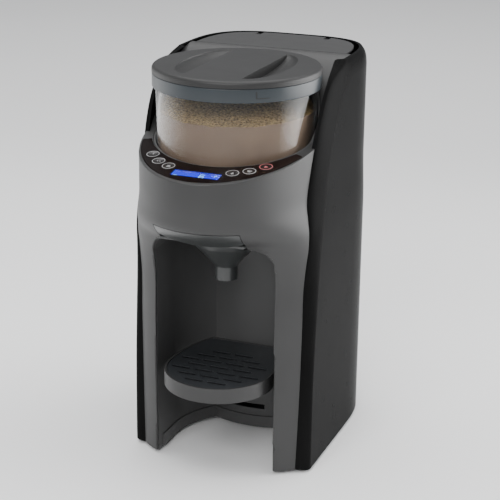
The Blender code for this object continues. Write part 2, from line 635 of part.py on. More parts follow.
# ---- funnel and tray ------------------------------------------------------------------
def mixing_funnel():
    """The drawer-like funnel: cone and nozzle, sliding flange, and its cover in the chin."""
    profile = ((0.0285, FUNNEL_TOP_Z + 0.002), (0.0310, FUNNEL_TOP_Z + 0.002), (0.0310, 0.2000),
               (0.0273, 0.1940), (0.0121, 0.1772), (0.0097, 0.1740), (0.0097, NOZZLE_Z),
               (0.0075, NOZZLE_Z), (0.0075, 0.1745), (0.0100, 0.1780), (0.0250, 0.1950), (0.0285, 0.2010))
    made = turned("mixing_funnel", profile, (0.0, FUNNEL_Y), "funnel_grey", steps=28, closed=True)
    flange = box("funnel_flange", (-0.0366, -0.0990, FUNNEL_TOP_Z),
                 (0.0366, FUNNEL_Y + 0.0330, FUNNEL_TOP_Z + 0.0025))
    cut(flange, cylinder("flange_bore", 0.0295, 0.200, 0.220, (0.0, FUNNEL_Y), segments=28))
    join(made, flange)
    cover = casing("funnel_cover", inset=0.0001, material="funnel_grey", black=False)
    keep_inside(cover, box("cover_block", (-0.0368, -0.140, 0.2068), (0.0368, -0.0995, 0.2232)))
    cut(cover, casing("cover_back", inset=0.0024, black=False))


def tray_outline(offset=0.0):
    """Plan of the drip tray: a round front, sides that taper to a straight back edge."""
    radius = TRAY_RADIUS + offset
    length = 0.082 + offset
    back_y = TRAY_BACK_Y + offset
    front = arc((0.0, TRAY_Y), radius, 180, 360, 24)
    side = []
    for step in range(1, 8):
        y = TRAY_Y + (back_y - TRAY_Y) * step / 7
        side.append((radius * math.sqrt(1 - ((y - TRAY_Y) / length) ** 2), y))
    return front + side + [(-x, y) for x, y in reversed(side)]


def drip_tray():
    made = prism("drip_tray", tray_outline(), TRAY_BOTTOM_Z, TRAY_TOP_Z, "housing_grey")
    cut(made, prism("tray_room", tray_outline(-0.0045), TRAY_BOTTOM_Z + 0.002, TRAY_TOP_Z + 0.010))
    cut(made, prism("tray_ledge", tray_outline(-0.0020), TRAY_TOP_Z - 0.0028, TRAY_TOP_Z + 0.010))
    join(made, box("tray_hook", (-HOOK_HALF_WIDTH, TRAY_BACK_Y - 0.001, HOOK_HEIGHTS[-1] - 0.0018),
                   (HOOK_HALF_WIDTH, 0.0130, HOOK_HEIGHTS[-1] + 0.0018)))
    drip_grate()


def drip_grate():
    """The lift-out plate over the tray, with rows of short slots."""
    grate = prism("drip_grate", tray_outline(-0.0024), TRAY_TOP_Z - 0.0025, TRAY_TOP_Z - SKIN, "grate_black")
    for row in range(GRATE_ROWS):
        y = TRAY_Y - 0.030 + GRATE_PITCH * row
        reach = math.sqrt(max(0.0, 0.040 ** 2 - (y - TRAY_Y) ** 2))
        for column in (-1, 0, 1):
            middle = column * 0.0225
            if abs(middle) + SLOT_HALF_LENGTH < reach or y > TRAY_Y and column == 0:
                cut(grate, box(f"slot_{row}_{column}", (middle - SLOT_HALF_LENGTH, y - 0.0012, 0.07),
                               (middle + SLOT_HALF_LENGTH, y + 0.0012, 0.09)))


# ---- water tank -----------------------------------------------------------------------
def tank_block(name, inset, low, high, front_y, material=None):
    half_width = TANK_PLAN_HALF_WIDTH - inset
    outline = [(half_width, -0.100), *rear_arc(half_width, inset), (-half_width, -0.100)]
    made = prism(name, outline, low, high, material)
    cut(made, box(name + "_front", (-0.1, -0.2, low - 0.01), (0.1, front_y, high + 0.01)))
    return made


def water_tank():
    """The lift-out tank with its hinge ears, spout and spring valve."""
    made = tank_block("water_tank", TANK_INSET, TANK_FLOOR_Z, TANK_TOP_Z, TANK_FRONT_Y, "smoke_plastic")
    for side in (1, -1):
        middle = side * 0.032
        join(made, box(f"hinge_ear_{side}", (middle - 0.002, HINGE.y - 0.003, 0.310),
                       (middle + 0.002, HINGE.y + 0.0025, HINGE.z + 0.0022)))
        join(made, box(f"ear_root_{side}", (middle - 0.002, HINGE.y - 0.003, 0.300),
                       (middle + 0.002, REAR_Y - TANK_INSET - 0.0010, 0.3200)))
    room = tank_block("tank_room", TANK_INSET + 0.002, TANK_FLOOR_Z + 0.002, 0.299, TANK_FRONT_Y + 0.002)
    upper = tank_block("tank_mouth", TANK_INSET + 0.002, 0.290, 0.360, TANK_FRONT_Y + 0.002)
    for side in (1, -1):
        middle = side * 0.032
        cut(upper, box(f"ear_keep_{side}", (middle - 0.002, HINGE.y - 0.003, 0.300),
                       (middle + 0.002, 0.130, 0.3200)))
        cut(upper, box(f"ear_top_{side}", (middle - 0.002, HINGE.y - 0.003, 0.300),
                       (middle + 0.002, HINGE.y + 0.0025, 0.370)))
    cut(made, room, upper)
    cut(made, cylinder("ear_bores", 0.0015, -0.050, 0.050, (HINGE.y, HINGE.z), segments=16, axis="X"))
    join(made, cylinder("tank_spout", 0.0070, 0.0500, TANK_FLOOR_Z + 0.001, (0.0, VALVE_Y), segments=24))
    cut(made, cylinder("spout_bore", 0.0050, 0.0400, 0.0700, (0.0, VALVE_Y), segments=24))
    plunger = ((0.0, 0.0663), (0.0080, 0.0653), (0.0080, 0.0623), (0.0030, 0.0623),
               (0.0030, 0.0478), (0.0, 0.0478))
    turned("tank_valve", plunger, (0.0, VALVE_Y), "silicone", steps=16)
    cylinder("hinge_pin", 0.0012, -0.0345, 0.0345, (HINGE.y, HINGE.z), "steel", 16, "X")


def tank_lid():
    made = tank_block("tank_lid", TANK_INSET + 0.0026, 0.3382, HEIGHT, LID_SEAM_Y + SKIN, "housing_grey")
    join(made, cylinder("lid_knuckle", 0.0029, -0.0295, 0.0295, (HINGE.y, HINGE.z), segments=20, axis="X"))
    cut(made, cylinder("lid_bore", 0.0016, -0.050, 0.050, (HINGE.y, HINGE.z), segments=16, axis="X"))
    for side in (1, -1):
        cut(made, box(f"ear_slot_{side}", (side * 0.032 - 0.0026, HINGE.y - 0.0060, 0.320),
                      (side * 0.032 + 0.0026, 0.130, 0.350)))
    cut(made, cylinder("lid_corner", LID_RADIUS + 0.0012, 0.320, 0.350, (0.0, HOPPER_Y), segments=ROUND))


def tank_bay():
    """What the tank stands on and against: shelf, dividing wall and water socket."""
    shelf = tank_block("tank_shelf", WALL + 0.0040, 0.0560, 0.0595, TANK_FRONT_Y - 0.002, "inner_grey")
    cut(shelf, cylinder("shelf_hole", 0.0080, 0.050, 0.065, (0.0, VALVE_Y), segments=24))
    box("tank_bay_wall", (-0.0720, TANK_FRONT_Y - 0.0035, 0.0600),
        (0.0720, TANK_FRONT_Y - 0.0017, 0.3330), "inner_grey")
    cup = ((0.0, 0.0410), (0.0050, 0.0410), (0.0050, 0.0500), (0.0100, 0.0500), (0.0100, 0.0557),
           (0.0125, 0.0557), (0.0125, 0.0480), (0.0070, 0.0400), (0.0070, 0.0360), (0.0, 0.0360))
    turned("tank_socket", cup, (0.0, VALVE_Y), "inner_grey", steps=24)


# ---- electrics and water path ---------------------------------------------------------
def internals():
    """Pump, heater, main board, power inlet, and the hoses from the tank to the spout."""
    cylinder("water_pump", 0.0140, -0.0620, -0.0160, (0.0420, 0.0280), "steel", 24, "X")
    box("heater", (0.0140, 0.0280, 0.0800), (0.0520, 0.0560, 0.1850), "aluminium")
    box("main_board", (-0.0550, 0.0610, 0.0900), (0.0050, 0.0626, 0.1850), "board_green")
    inlet = box("power_inlet", (-0.0140, 0.1050, 0.0145), (0.0140, 0.1257, 0.0335), "inner_grey")
    cut(inlet, box("inlet_socket", (-0.0090, 0.1120, 0.0195), (0.0090, 0.1300, 0.0285)))
    cylinder("water_spout", 0.0050, 0.2140, 0.2300, (0.0, -0.0160), "silicone", 20)
    supply = ((0.0, VALVE_Y, 0.0355), (0.0, 0.0930, 0.0240), (0.0, 0.0750, 0.0180), (0.0, 0.0560, 0.0200),
              (0.0, 0.0450, 0.0250), (-0.0080, 0.0420, 0.0280), (-0.0150, 0.0420, 0.0280))
    tube("supply_hose", supply, 0.0035, "silicone")
    to_heater = ((-0.0380, 0.0420, 0.0430), (-0.0380, 0.0420, 0.0520), (-0.0220, 0.0420, 0.0620),
                 (0.0150, 0.0420, 0.0600), (0.0330, 0.0420, 0.0680), (0.0330, 0.0420, 0.0790))
    tube("heater_hose", to_heater, 0.0035, "silicone")
    to_spout = ((0.0330, 0.0420, 0.1860), (0.0330, 0.0420, 0.2000), (0.0310, 0.0250, 0.2180),
                (0.0230, 0.0040, 0.2240), (0.0120, -0.0100, 0.2230), (0.0056, -0.0140, 0.2225))
    tube("spout_hose", to_spout, 0.0032, "silicone")


# ---- joint axes -----------------------------------------------------------------------
def hold(name, place, *nodes):
    """An empty on a joint's axis that carries the nodes that move on it."""
    empty = bpy.data.objects.new(name, None)
    empty.empty_display_size = 0.01
    empty.location = place
    EMPTIES.objects.link(empty)
    for node in nodes:
        child = bpy.data.objects[node]
        child.parent = empty
        child.matrix_parent_inverse = Matrix.Translation(-Vector(place))
    return empty


def build():
    front_housing()
    rear_shell()
    bay_liner()
    base_plate()
    feet_and_screws()
    control_panel()
    container_seat()
    powder_container()
    metering_drive()
    lid()
    mixing_funnel()
    drip_tray()
    water_tank()
    tank_lid()
    tank_bay()
    internals()
    hold("hopper_axis", (0.0, HOPPER_Y, 0.2623), "powder_container", "container_base", "scraper_plate",
         "metering_wheel", "stirrer", "lid_seal", "lid_top", "lid_skirt")
    hold("pinion_axis", (0.0, PINION_Y, GEAR_Z[0]), "drive_pinion")
    hold("funnel_rail", (0.0, FUNNEL_Y, FUNNEL_TOP_Z), "mixing_funnel", "funnel_cover")
    hold("tray_rail", (0.0, TRAY_Y, TRAY_BOTTOM_Z), "drip_tray", "drip_grate")
    hold("tank_rail", (0.0, VALVE_Y, TANK_FLOOR_Z), "water_tank", "hinge_pin", "tank_valve")
    hold("tank_lid_axis", HINGE, "tank_lid")


build()
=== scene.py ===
"""Looks of the countertop formula dispenser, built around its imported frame."""

import json
import math

import bmesh
import bpy
import numpy as np
from mathutils import Matrix, Vector, noise


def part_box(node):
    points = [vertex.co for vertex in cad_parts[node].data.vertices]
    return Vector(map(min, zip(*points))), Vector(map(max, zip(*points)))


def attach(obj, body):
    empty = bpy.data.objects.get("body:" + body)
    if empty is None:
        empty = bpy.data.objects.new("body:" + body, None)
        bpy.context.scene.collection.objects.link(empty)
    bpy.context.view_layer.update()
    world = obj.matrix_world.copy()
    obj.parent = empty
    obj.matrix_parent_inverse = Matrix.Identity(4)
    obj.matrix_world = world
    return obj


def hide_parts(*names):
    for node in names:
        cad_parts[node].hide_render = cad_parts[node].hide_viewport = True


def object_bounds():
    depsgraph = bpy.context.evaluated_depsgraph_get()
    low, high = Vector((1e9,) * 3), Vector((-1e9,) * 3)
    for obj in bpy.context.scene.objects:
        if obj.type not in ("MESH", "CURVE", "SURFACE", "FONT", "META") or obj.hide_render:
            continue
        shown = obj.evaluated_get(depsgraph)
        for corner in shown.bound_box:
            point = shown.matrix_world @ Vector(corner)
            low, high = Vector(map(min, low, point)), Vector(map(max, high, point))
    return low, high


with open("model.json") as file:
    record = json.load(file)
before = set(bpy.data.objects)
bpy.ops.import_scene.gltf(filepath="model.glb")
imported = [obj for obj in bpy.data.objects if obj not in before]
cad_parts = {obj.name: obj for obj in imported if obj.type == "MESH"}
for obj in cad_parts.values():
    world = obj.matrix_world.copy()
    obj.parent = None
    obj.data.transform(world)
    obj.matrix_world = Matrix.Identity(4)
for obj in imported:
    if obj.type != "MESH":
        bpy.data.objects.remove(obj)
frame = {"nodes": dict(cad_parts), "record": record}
CAD_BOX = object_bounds()

# ---- sizes read from the frame ----
LID_LOW, LID_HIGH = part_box("lid_top")
HOPPER_Y = (LID_LOW[1] + LID_HIGH[1]) / 2
HOPPER = (0.0, HOPPER_Y)
LID_RADIUS = (LID_HIGH[0] - LID_LOW[0]) / 2
TOP_Z = LID_HIGH[2]
REAR_Y = CAD_BOX[1][1]
HALF_WIDTH = CAD_BOX[1][0]

# ---- casing sizes ----
WALL = 0.0025
TONGUE_GAP = 0.0007
WELL_RADIUS = 0.0685
LID_SEAM_Y = 0.052
INLET_HALF_WIDTH = 0.0145
INLET_Z = (0.0140, 0.0340)
VENT_ROWS = 5
VENT_LOW_Z = 0.120
VENT_PITCH = 0.012
VENT_HEIGHT = 0.003
VENT_HALF_WIDTH = 0.030
BELOW = -0.010  # where cutters that open a casing's underside start
# Plan: the front is half an ellipse, the back a squarer half of one.
FRONT_ARC_Y = -0.034
REAR_ARC_Y = 0.036
REAR_POWER = 3.4
LIP_END_Y = REAR_ARC_Y - 0.004
GREY_HALF_WIDTH = 0.0820
GREY_HEAD_HALF_WIDTH = 0.0753
GREY_PAST_SEAM = 0.0031
HEAD_HALF_WIDTH = HALF_WIDTH - 0.0015
# The columns turn into the head over this rise; the black shell starts a little later.
GREY_LEAN_Z = 0.195
SHELL_LEAN_Z = 0.200
LEAN_RISE = 0.050
FRONT_FACETS = 44
LIP_FACETS = 14
FLANK_FACETS = 6
REAR_FACETS = 72

# Side view (y, height) of the deck: panel slope, rise round the hopper, flat top.
DECK_LINE = ((-0.150, 0.2615), (-0.044, 0.2800), (-0.024, 0.2880), (-0.014, 0.2950), (-0.004, 0.3030),
             (0.005, 0.3110), (0.021, 0.3250), (0.036, 0.3350), (0.046, 0.3392), (0.054, 0.3400),
             (0.160, 0.3400))
# Side view (y, height) of the seam between the grey front and the black shell.
SEAM_LINE = ((-0.0600, -0.010), (-0.0580, 0.067), (-0.0570, 0.131), (-0.0560, 0.190), (-0.0540, 0.225),
             (-0.0510, 0.246), (-0.0470, 0.262), (-0.0420, 0.279), (-0.0370, 0.292), (-0.0300, 0.305),
             (-0.0200, 0.318), (-0.0070, 0.330), (0.0090, 0.337), (0.0300, 0.342), (0.0300, 0.360))
# Side view (height, y) of the inner edge of the shell's lip, where it meets the flank.
LIP_LINE = ((-0.010, -0.0520), (0.030, -0.0520), (0.084, -0.0510), (0.128, -0.0470), (0.178, -0.0408),
            (0.215, -0.0335), (0.238, -0.0260), (0.261, -0.0187), (0.283, -0.0094), (0.300, 0.0026),
            (0.312, 0.0150), (0.320, 0.0301), (0.326, 0.0496), (0.334, 0.0694), (0.340, 0.0900),
            (0.360, 0.0900))
# Height of a section, the reach of its front, and how far its top edge rolls in.
SECTIONS = ((0.003, -0.0835, 0.0), (0.128, -0.084, 0.0), (0.170, -0.084, 0.0), (0.180, -0.086, 0.0),
            (0.195, -0.091, 0.0), (0.207, -0.100, 0.0), (0.216, -0.113, 0.0), (0.225, -0.122, 0.0),
            (0.238, -0.1255, 0.0), (0.262, -0.126, 0.0), (0.300, -0.126, 0.0), (0.326, -0.126, 0.0),
            (0.330, -0.126, 0.0003), (0.334, -0.126, 0.0010), (0.337, -0.126, 0.0022),
            (0.340, -0.126, 0.0042), (0.350, -0.126, 0.0042))
# Runs of section heights (from, to, count), closest where the chin and the top edge curve.
HEIGHT_RUNS = ((0.003, 0.160, 24), (0.164, 0.262, 44), (0.266, 0.326, 26), (0.327, 0.340, 9),
               (0.350, 0.350, 1))

# ---- control panel sizes ----
PANEL_RADII = (0.0736, 0.0992)
PANEL_HALF_ANGLE = 64.0
PANEL_STEPS = 48
PANEL_SLOPE = math.radians(10.2)
PANEL_FOOT = Vector((0.0, -0.044, 0.280))
PANEL_TOP_Z = PANEL_FOOT.z + 0.0004
THROUGH = 0.010  # how far a cutter runs past the panel on each side
WINDOW_Y = -0.1100
WINDOW_HALF = (0.0203, 0.0048)
DISPLAY_HALF = (0.0206, 0.0053)
DISPLAY_ROOM_HALF = (0.0215, 0.0058)
DISPLAY_DEPTH = 0.0017
DIGIT = Vector((0.0048, -0.1102))
DIGIT_STROKE = 0.00035
KEY_RADIUS = 0.0056
KEY_TOP_Z = PANEL_TOP_Z + 0.0004
GLYPH_STROKE = 0.0004
KEYS = ("water_down_button", "powder_button", "start_button", "size_button", "unit_button", "power_button")

# ---- bay, funnel and tray sizes ----
BAY_HALF = 0.053
BAY_CENTRE_Y = -0.036
BAY_DEPTH = 0.062
BAY_CUSP_Y = 0.013
BAY_BACK_Y = 0.0065
BAY_TOP_Z = 0.206
BAY_CORNER = 0.022
BAY_SIDE_FACETS = 24
BAY_BACK_FACETS = 22
LINER_WALL = 0.0022
PLINTH_Z = 0.014
HOOK_HEIGHTS = (0.0230, 0.0500, 0.0775)
HOOK_HALF_WIDTH = 0.0150
FUNNEL_Y = -0.0457
FLANGE_Z = 0.2083
DRAWER_HALF_WIDTH = 0.0368
COVER_FLAP_Z = (0.2068, 0.2232)
TRAY_Y = -0.0593
TRAY_RADIUS = 0.0468
TRAY_LENGTH = 0.082
TRAY_BACK_Y = 0.002
TRAY_LOW_Z = 0.073
TRAY_HIGH_Z = 0.086
SLOT_HALF_LENGTH = 0.0085
SLOT_HALF_WIDTH = 0.0018
SLOT_PITCH = (0.0205, 0.0105)
SLOT_ROWS = 7

# ---- hopper, lid and tank cover sizes ----
TURN_STEPS = 160
HOPPER_RADII = (0.0643, 0.0665)
HOPPER_Z = (0.2623, 0.3310)
SEAT_RADII = (0.0670, 0.0682)
SEAT_Z = (0.2430, 0.2450, 0.3205)
OUTLET_RADIUS = 0.0110
OUTLET_OFFSET = 0.0377
POWDER_RADII = (0.0606, 0.0640)
POWDER_Z = 0.3026
LID_TOP_RADIUS = 0.0697
LID_PLUG_RADIUS = 0.0603
LID_ROLL = (0.0032, 0.0030)
SKIRT_RADII = (0.0672, 0.0696)
SKIRT_Z = (0.3229, 0.3340)
BAR_HALF_WIDTH = 0.0245
SCOOP_RADII = (0.0215, 0.0520, 0.0085)
COVER_INSET = 0.0093
COVER_HALF_WIDTH = 0.078 - COVER_INSET
COVER_LOW_Z = 0.3382
HINGE = (0.112, 0.3370)
KNUCKLE_RADIUS = 0.0029
PIN_BORE_RADIUS = 0.0016
EAR_X = 0.032


# ---- material building blocks ----
def material(name, colour, roughness, metallic=0.0, **sockets):
    """A plain shader to build on; a socket's name is written with underscores."""
    made = bpy.data.materials.new(name)
    made.use_nodes = True
    inputs = made.node_tree.nodes["Principled BSDF"].inputs
    inputs["Base Color"].default_value = (*colour, 1.0)
    inputs["Roughness"].default_value = roughness
    inputs["Metallic"].default_value = metallic
    for socket, value in sockets.items():
        inputs[socket.replace("_", " ")].default_value = value
    return made


def noise_node(tree, scale, detail, stretch=None):
    """Noise in the object's own space, drawn out along an axis for brushed metal."""
    place = tree.nodes.new("ShaderNodeTexCoord")
    texture = tree.nodes.new("ShaderNodeTexNoise")
    texture.inputs["Scale"].default_value = scale
    texture.inputs["Detail"].default_value = detail
    if stretch is None:
        tree.links.new(place.outputs["Object"], texture.inputs["Vector"])
    else:
        mapping = tree.nodes.new("ShaderNodeMapping")
        mapping.inputs["Scale"].default_value = stretch
        tree.links.new(place.outputs["Object"], mapping.inputs["Vector"])
        tree.links.new(mapping.outputs["Vector"], texture.inputs["Vector"])
    return texture


def vary_colour(made, low, high, scale):
    """Let the colour drift between two values."""
    tree = made.node_tree
    ramp = tree.nodes.new("ShaderNodeValToRGB")
    for stop, place, colour in zip(ramp.color_ramp.elements, (0.3, 0.7), (low, high)):
        stop.position = place
        stop.color = (*colour, 1.0)
    tree.links.new(noise_node(tree, scale, 5.0).outputs["Fac"], ramp.inputs["Fac"])
    tree.links.new(ramp.outputs["Color"], tree.nodes["Principled BSDF"].inputs["Base Color"])


def vary_roughness(made, low, high, scale, stretch=None):
    """Let the sheen vary over the surface."""
    tree = made.node_tree
    spread = tree.nodes.new("ShaderNodeMapRange")
    spread.inputs["To Min"].default_value = low
    spread.inputs["To Max"].default_value = high
    tree.links.new(noise_node(tree, scale, 3.0, stretch).outputs["Fac"], spread.inputs["Value"])
    tree.links.new(spread.outputs["Result"], tree.nodes["Principled BSDF"].inputs["Roughness"])


def add_bump(made, scale, depth, strength=0.3, stretch=None, detail=2.0):
    """A fine relief that only shading shows."""
    tree = made.node_tree
    bump = tree.nodes.new("ShaderNodeBump")
    bump.inputs["Strength"].default_value = strength
    bump.inputs["Distance"].default_value = depth
    tree.links.new(noise_node(tree, scale, detail, stretch).outputs["Fac"], bump.inputs["Height"])
    tree.links.new(bump.outputs["Normal"], tree.nodes["Principled BSDF"].inputs["Normal"])


def moulded(name, low, high, roughness, grain=1400.0, depth=0.00006, strength=0.25, **sockets):
    """Moulded plastic: faint colour drift, uneven sheen and a fine grain."""
    middle = tuple((a + b) / 2 for a, b in zip(low, high))
    made = material(name, middle, roughness, **sockets)
    vary_colour(made, low, high, 18.0)
    vary_roughness(made, roughness - 0.05, roughness + 0.05, 45.0)
    add_bump(made, grain, depth, strength)
    return made


def grey(value):
    return value, value, value


def plastics():
    """Moulded plastics and rubbers, each with its own colour drift, sheen and grain."""
    made = {}

    def add(name, *look, **sockets):
        made[name] = moulded(name, *look, **sockets)

    add("housing_grey", grey(0.031), grey(0.035), 0.46, IOR=1.38)
    add("shell_black", grey(0.006), grey(0.008), 0.26, 30.0, 0.00012, 0.02, IOR=1.045)
    # The bay's grey is the housing's plastic made lighter: painted light that brightens the shaded bay.
    add("bay_grey", grey(0.054), grey(0.060), 0.48)
    add("inner_grey", grey(0.060), grey(0.080), 0.55)
    add("panel_black", (0.005, 0.003, 0.003), (0.012, 0.007, 0.006), 0.20, 60.0, 0.00005, 0.04, IOR=1.16)
    add("skirt_blue_grey", (0.028, 0.034, 0.038), (0.034, 0.040, 0.045), 0.30, 300.0, 0.00004, 0.03, IOR=1.36)
    add("lid_grey", grey(0.020), grey(0.024), 0.46, IOR=1.36)
    add("funnel_grey", (0.028, 0.030, 0.030), (0.034, 0.036, 0.036), 0.30, 500.0, 0.00004, 0.12)
    add("grate_black", (0.018, 0.020, 0.022), (0.024, 0.026, 0.029), 0.40)
    add("key_black", (0.012, 0.010, 0.010), (0.020, 0.017, 0.017), 0.22, 600.0, 0.00003, 0.10)
    add("key_mark", grey(0.30), grey(0.40), 0.45)
    add("key_mark_red", (0.42, 0.10, 0.10), (0.52, 0.14, 0.14), 0.45)
    add("gear_white", (0.66, 0.64, 0.60), (0.76, 0.75, 0.72), 0.38)
    add("silicone", (0.30, 0.31, 0.32), (0.38, 0.39, 0.40), 0.60)
    add("rubber", grey(0.014), grey(0.024), 0.80, 900.0, 0.00015, 0.5)
    add("board_green", (0.010, 0.10, 0.040), (0.020, 0.16, 0.070), 0.35, 220.0, 0.0002, 0.4)
    vary_roughness(made["shell_black"], 0.22, 0.30, 60.0)
    vary_roughness(made["panel_black"], 0.16, 0.24, 80.0)
    return made


def steel_material():
    """Brushed steel for pins, screws, and the motor's and the pump's cans."""
    made = material("steel", (0.52, 0.52, 0.53), 0.30, 1.0)
    vary_roughness(made, 0.22, 0.40, 90.0, (1.0, 14.0, 14.0))
    add_bump(made, 300.0, 0.00004, 0.3, (1.0, 20.0, 20.0))
    return made


def aluminium_material():
    """Cast aluminium for the heater."""
    made = material("aluminium", (0.66, 0.67, 0.68), 0.38, 1.0)
    vary_colour(made, (0.58, 0.59, 0.60), (0.72, 0.73, 0.74), 40.0)
    add_bump(made, 500.0, 0.0001, 0.5)
    return made


def clear_material(name, colour, ior, low, high, scale):
    """Clear plastic with a polish that faint smudges vary."""
    made = material(name, colour, 0.03, Transmission_Weight=1.0, IOR=ior)
    vary_roughness(made, low, high, scale)
    return made


def powder_material(name, low, high, clumps, roughness, **bump):
    """Milk powder: colour that changes from clump to clump, and a grainy surface."""
    made = material(name, low, roughness)
    vary_colour(made, low, high, clumps)
    add_bump(made, **bump)
    return made


def display_material(name, low, high, strength):
    """A glowing surface whose glow has the same slight unevenness as its colour."""
    made = material(name, low, 0.2, IOR=1.05)
    vary_colour(made, low, high, 60.0)
    tree = made.node_tree
    shader = tree.nodes["Principled BSDF"]
    colour = shader.inputs["Base Color"].links[0].from_socket
    tree.links.new(colour, shader.inputs["Emission Color"])
    shader.inputs["Emission Strength"].default_value = strength
    return made


def make_materials():
    """Every material by name; loose powder is golden with browner clumps, packed powder is plain and darker, a
    painted shade for the powder's sides.
    """
    made = plastics()
    made["steel"] = steel_material()
    made["aluminium"] = aluminium_material()
    made["clear_plastic"] = clear_material("clear_plastic", grey(1.0), 1.27, 0.05, 0.11, 25.0)
    made["smoke_plastic"] = clear_material("smoke_plastic", (0.78, 0.80, 0.84), 1.04, 0.01, 0.05, 30.0)
    made["powder"] = powder_material("powder", (0.055, 0.028, 0.008), (0.60, 0.42, 0.19), 560.0, 0.95,
                                     scale=900.0, depth=0.0009, strength=1.0, detail=6.0)
    # Packed powder is the same powder, plain, and darker: a painted shade for the powder's sides.
    made["packed_powder_painted_shade"] = powder_material("packed_powder_painted_shade", (0.140, 0.094, 0.062), (0.185, 0.128, 0.088),
                                            30.0, 0.85, scale=300.0, depth=0.0001, strength=0.1)
    made["display_blue"] = display_material("display_blue", (0.001, 0.010, 0.62), (0.002, 0.030, 0.90), 0.75)
    made["display_mark"] = display_material("display_mark", (0.25, 0.70, 1.0), (0.35, 0.85, 1.0), 1.0)
    return made


# ---- shape helpers ----
HIDDEN = []
ON_AXIS = 1e-6
MANY_SIDES = 40  # a face with more corners than this may have holes and is split up


def link(name, data):
    """A new object in the scene."""
    made = bpy.data.objects.new(name, data)
    bpy.context.scene.collection.objects.link(made)
    return made


def mesh_of(bm, name):
    bmesh.ops.recalc_face_normals(bm, faces=bm.faces)
    mesh = bpy.data.meshes.new(name)
    bm.to_mesh(mesh)
    bm.free()
    return mesh


def tool(made):
    """Mark an object as a construction helper that is removed at the end."""
    made.hide_render = True
    HIDDEN.append(made)


def extrude(bm, corners, push):
    """Add a solid: a flat face pushed along a vector."""
    face = bm.faces.new([bm.verts.new(corner) for corner in corners])
    grown = bmesh.ops.extrude_face_region(bm, geom=[face])
    moved = [item for item in grown["geom"] if isinstance(item, bmesh.types.BMVert)]
    bmesh.ops.translate(bm, verts=moved, vec=push)


def prism(outline, low, high, axis="Z", name="helper"):
    """Extrude a closed outline: (x, y) for Z, (y, z) for X, (x, z) for Y."""
    place = {"Z": lambda a, b: (a, b, low), "X": lambda a, b: (low, a, b), "Y": lambda a, b: (a, low, b)}[axis]
    push = {"Z": (0, 0, high - low), "X": (high - low, 0, 0), "Y": (0, high - low, 0)}[axis]
    bm = bmesh.new()
    extrude(bm, [place(a, b) for a, b in outline], push)
    return link(name, mesh_of(bm, name))


def bridge(bm, first, second):
    """Quads between two rings of the same number of points."""
    count = len(first)
    for i in range(count):
        j = (i + 1) % count
        bm.faces.new((first[i], first[j], second[j], second[i]))


def box(low, high, name="helper"):
    size = Vector(high) - Vector(low)
    middle = (Vector(high) + Vector(low)) / 2
    place = Matrix.Translation(middle) @ Matrix.Diagonal((*size, 1.0))
    bm = bmesh.new()
    bmesh.ops.create_cube(bm, size=1.0, matrix=place)
    return link(name, mesh_of(bm, name))


def cylinder(radius, low, high, centre, segments):
    place = Matrix.Translation((*centre, (low + high) / 2))
    bm = bmesh.new()
    bmesh.ops.create_cone(bm, cap_ends=True, segments=segments, radius1=radius, radius2=radius,
                          depth=high - low, matrix=place)
    return link("helper", mesh_of(bm, "helper"))


def on_circle(centre, radius, turn):
    return centre[0] + radius * math.cos(turn), centre[1] + radius * math.sin(turn)


def turned(name, profile, centre, steps):
    """Spin a closed (r, z) profile about a vertical axis; a point on the axis stays one vertex."""
    bm = bmesh.new()
    rings = []
    for radius, height in profile:
        count = steps if radius > ON_AXIS else 1
        reach = radius if count > 1 else 0.0
        places = [on_circle(centre, reach, 2 * math.pi * i / steps) for i in range(count)]
        rings.append([bm.verts.new((x, y, height)) for x, y in places])
    for first, second in zip(rings, rings[1:] + rings[:1]):
        for i in range(steps):
            j = (i + 1) % steps
            corners = [ring[k % len(ring)] for ring, k in ((first, i), (first, j), (second, j), (second, i))]
            unique = list(dict.fromkeys(corners))
            if len(unique) > 2:
                bm.faces.new(unique)
    return link(name, mesh_of(bm, name))


def rounded(profile, radius, steps=4):
    """A closed (r, z) profile with its corners rounded; a corner on the axis stays."""
    result = []
    count = len(profile)
    for i in range(count):
        before, corner, after = (Vector(profile[(i + k) % count]) for k in (-1, 0, 1))
        reach = min(radius, (before - corner).length * 0.45, (after - corner).length * 0.45)
        if corner.x < ON_AXIS or reach < 1e-5:
            result.append(tuple(corner))
            continue
        first = corner + (before - corner).normalized() * reach
        last = corner + (after - corner).normalized() * reach
        for step in range(steps + 1):
            t = step / steps
            point = first * (1 - t) ** 2 + corner * 2 * t * (1 - t) + last * t ** 2
            result.append((max(point.x, 0.0), point.y))
    return result


def bake(made):
    """Replace an object's mesh by what its modifiers make of it."""
    graph = bpy.context.evaluated_depsgraph_get()
    mesh = bpy.data.meshes.new_from_object(made.evaluated_get(graph), depsgraph=graph)
    made.modifiers.clear()
    made.data = mesh
    return made


def boolean(target, other, operation="DIFFERENCE"):
    """Cut, add or intersect; the other object is only a helper from then on."""
    step = target.modifiers.new("cut", "BOOLEAN")
    step.operation = operation
    step.solver = "EXACT"
    step.object = other
    tool(other)
    return bake(target)


def clean(made, distance=0.00008):
    """Split holed faces into triangles, and merge points that are closer than the distance."""
    bm = bmesh.new()
    bm.from_mesh(made.data)
    holed = [face for face in bm.faces if len(face.verts) > MANY_SIDES]
    bmesh.ops.triangulate(bm, faces=holed, ngon_method="BEAUTY")
    bmesh.ops.remove_doubles(bm, verts=bm.verts, dist=distance)
    bmesh.ops.dissolve_degenerate(bm, edges=bm.edges, dist=distance)
    bm.to_mesh(made.data)
    bm.free()


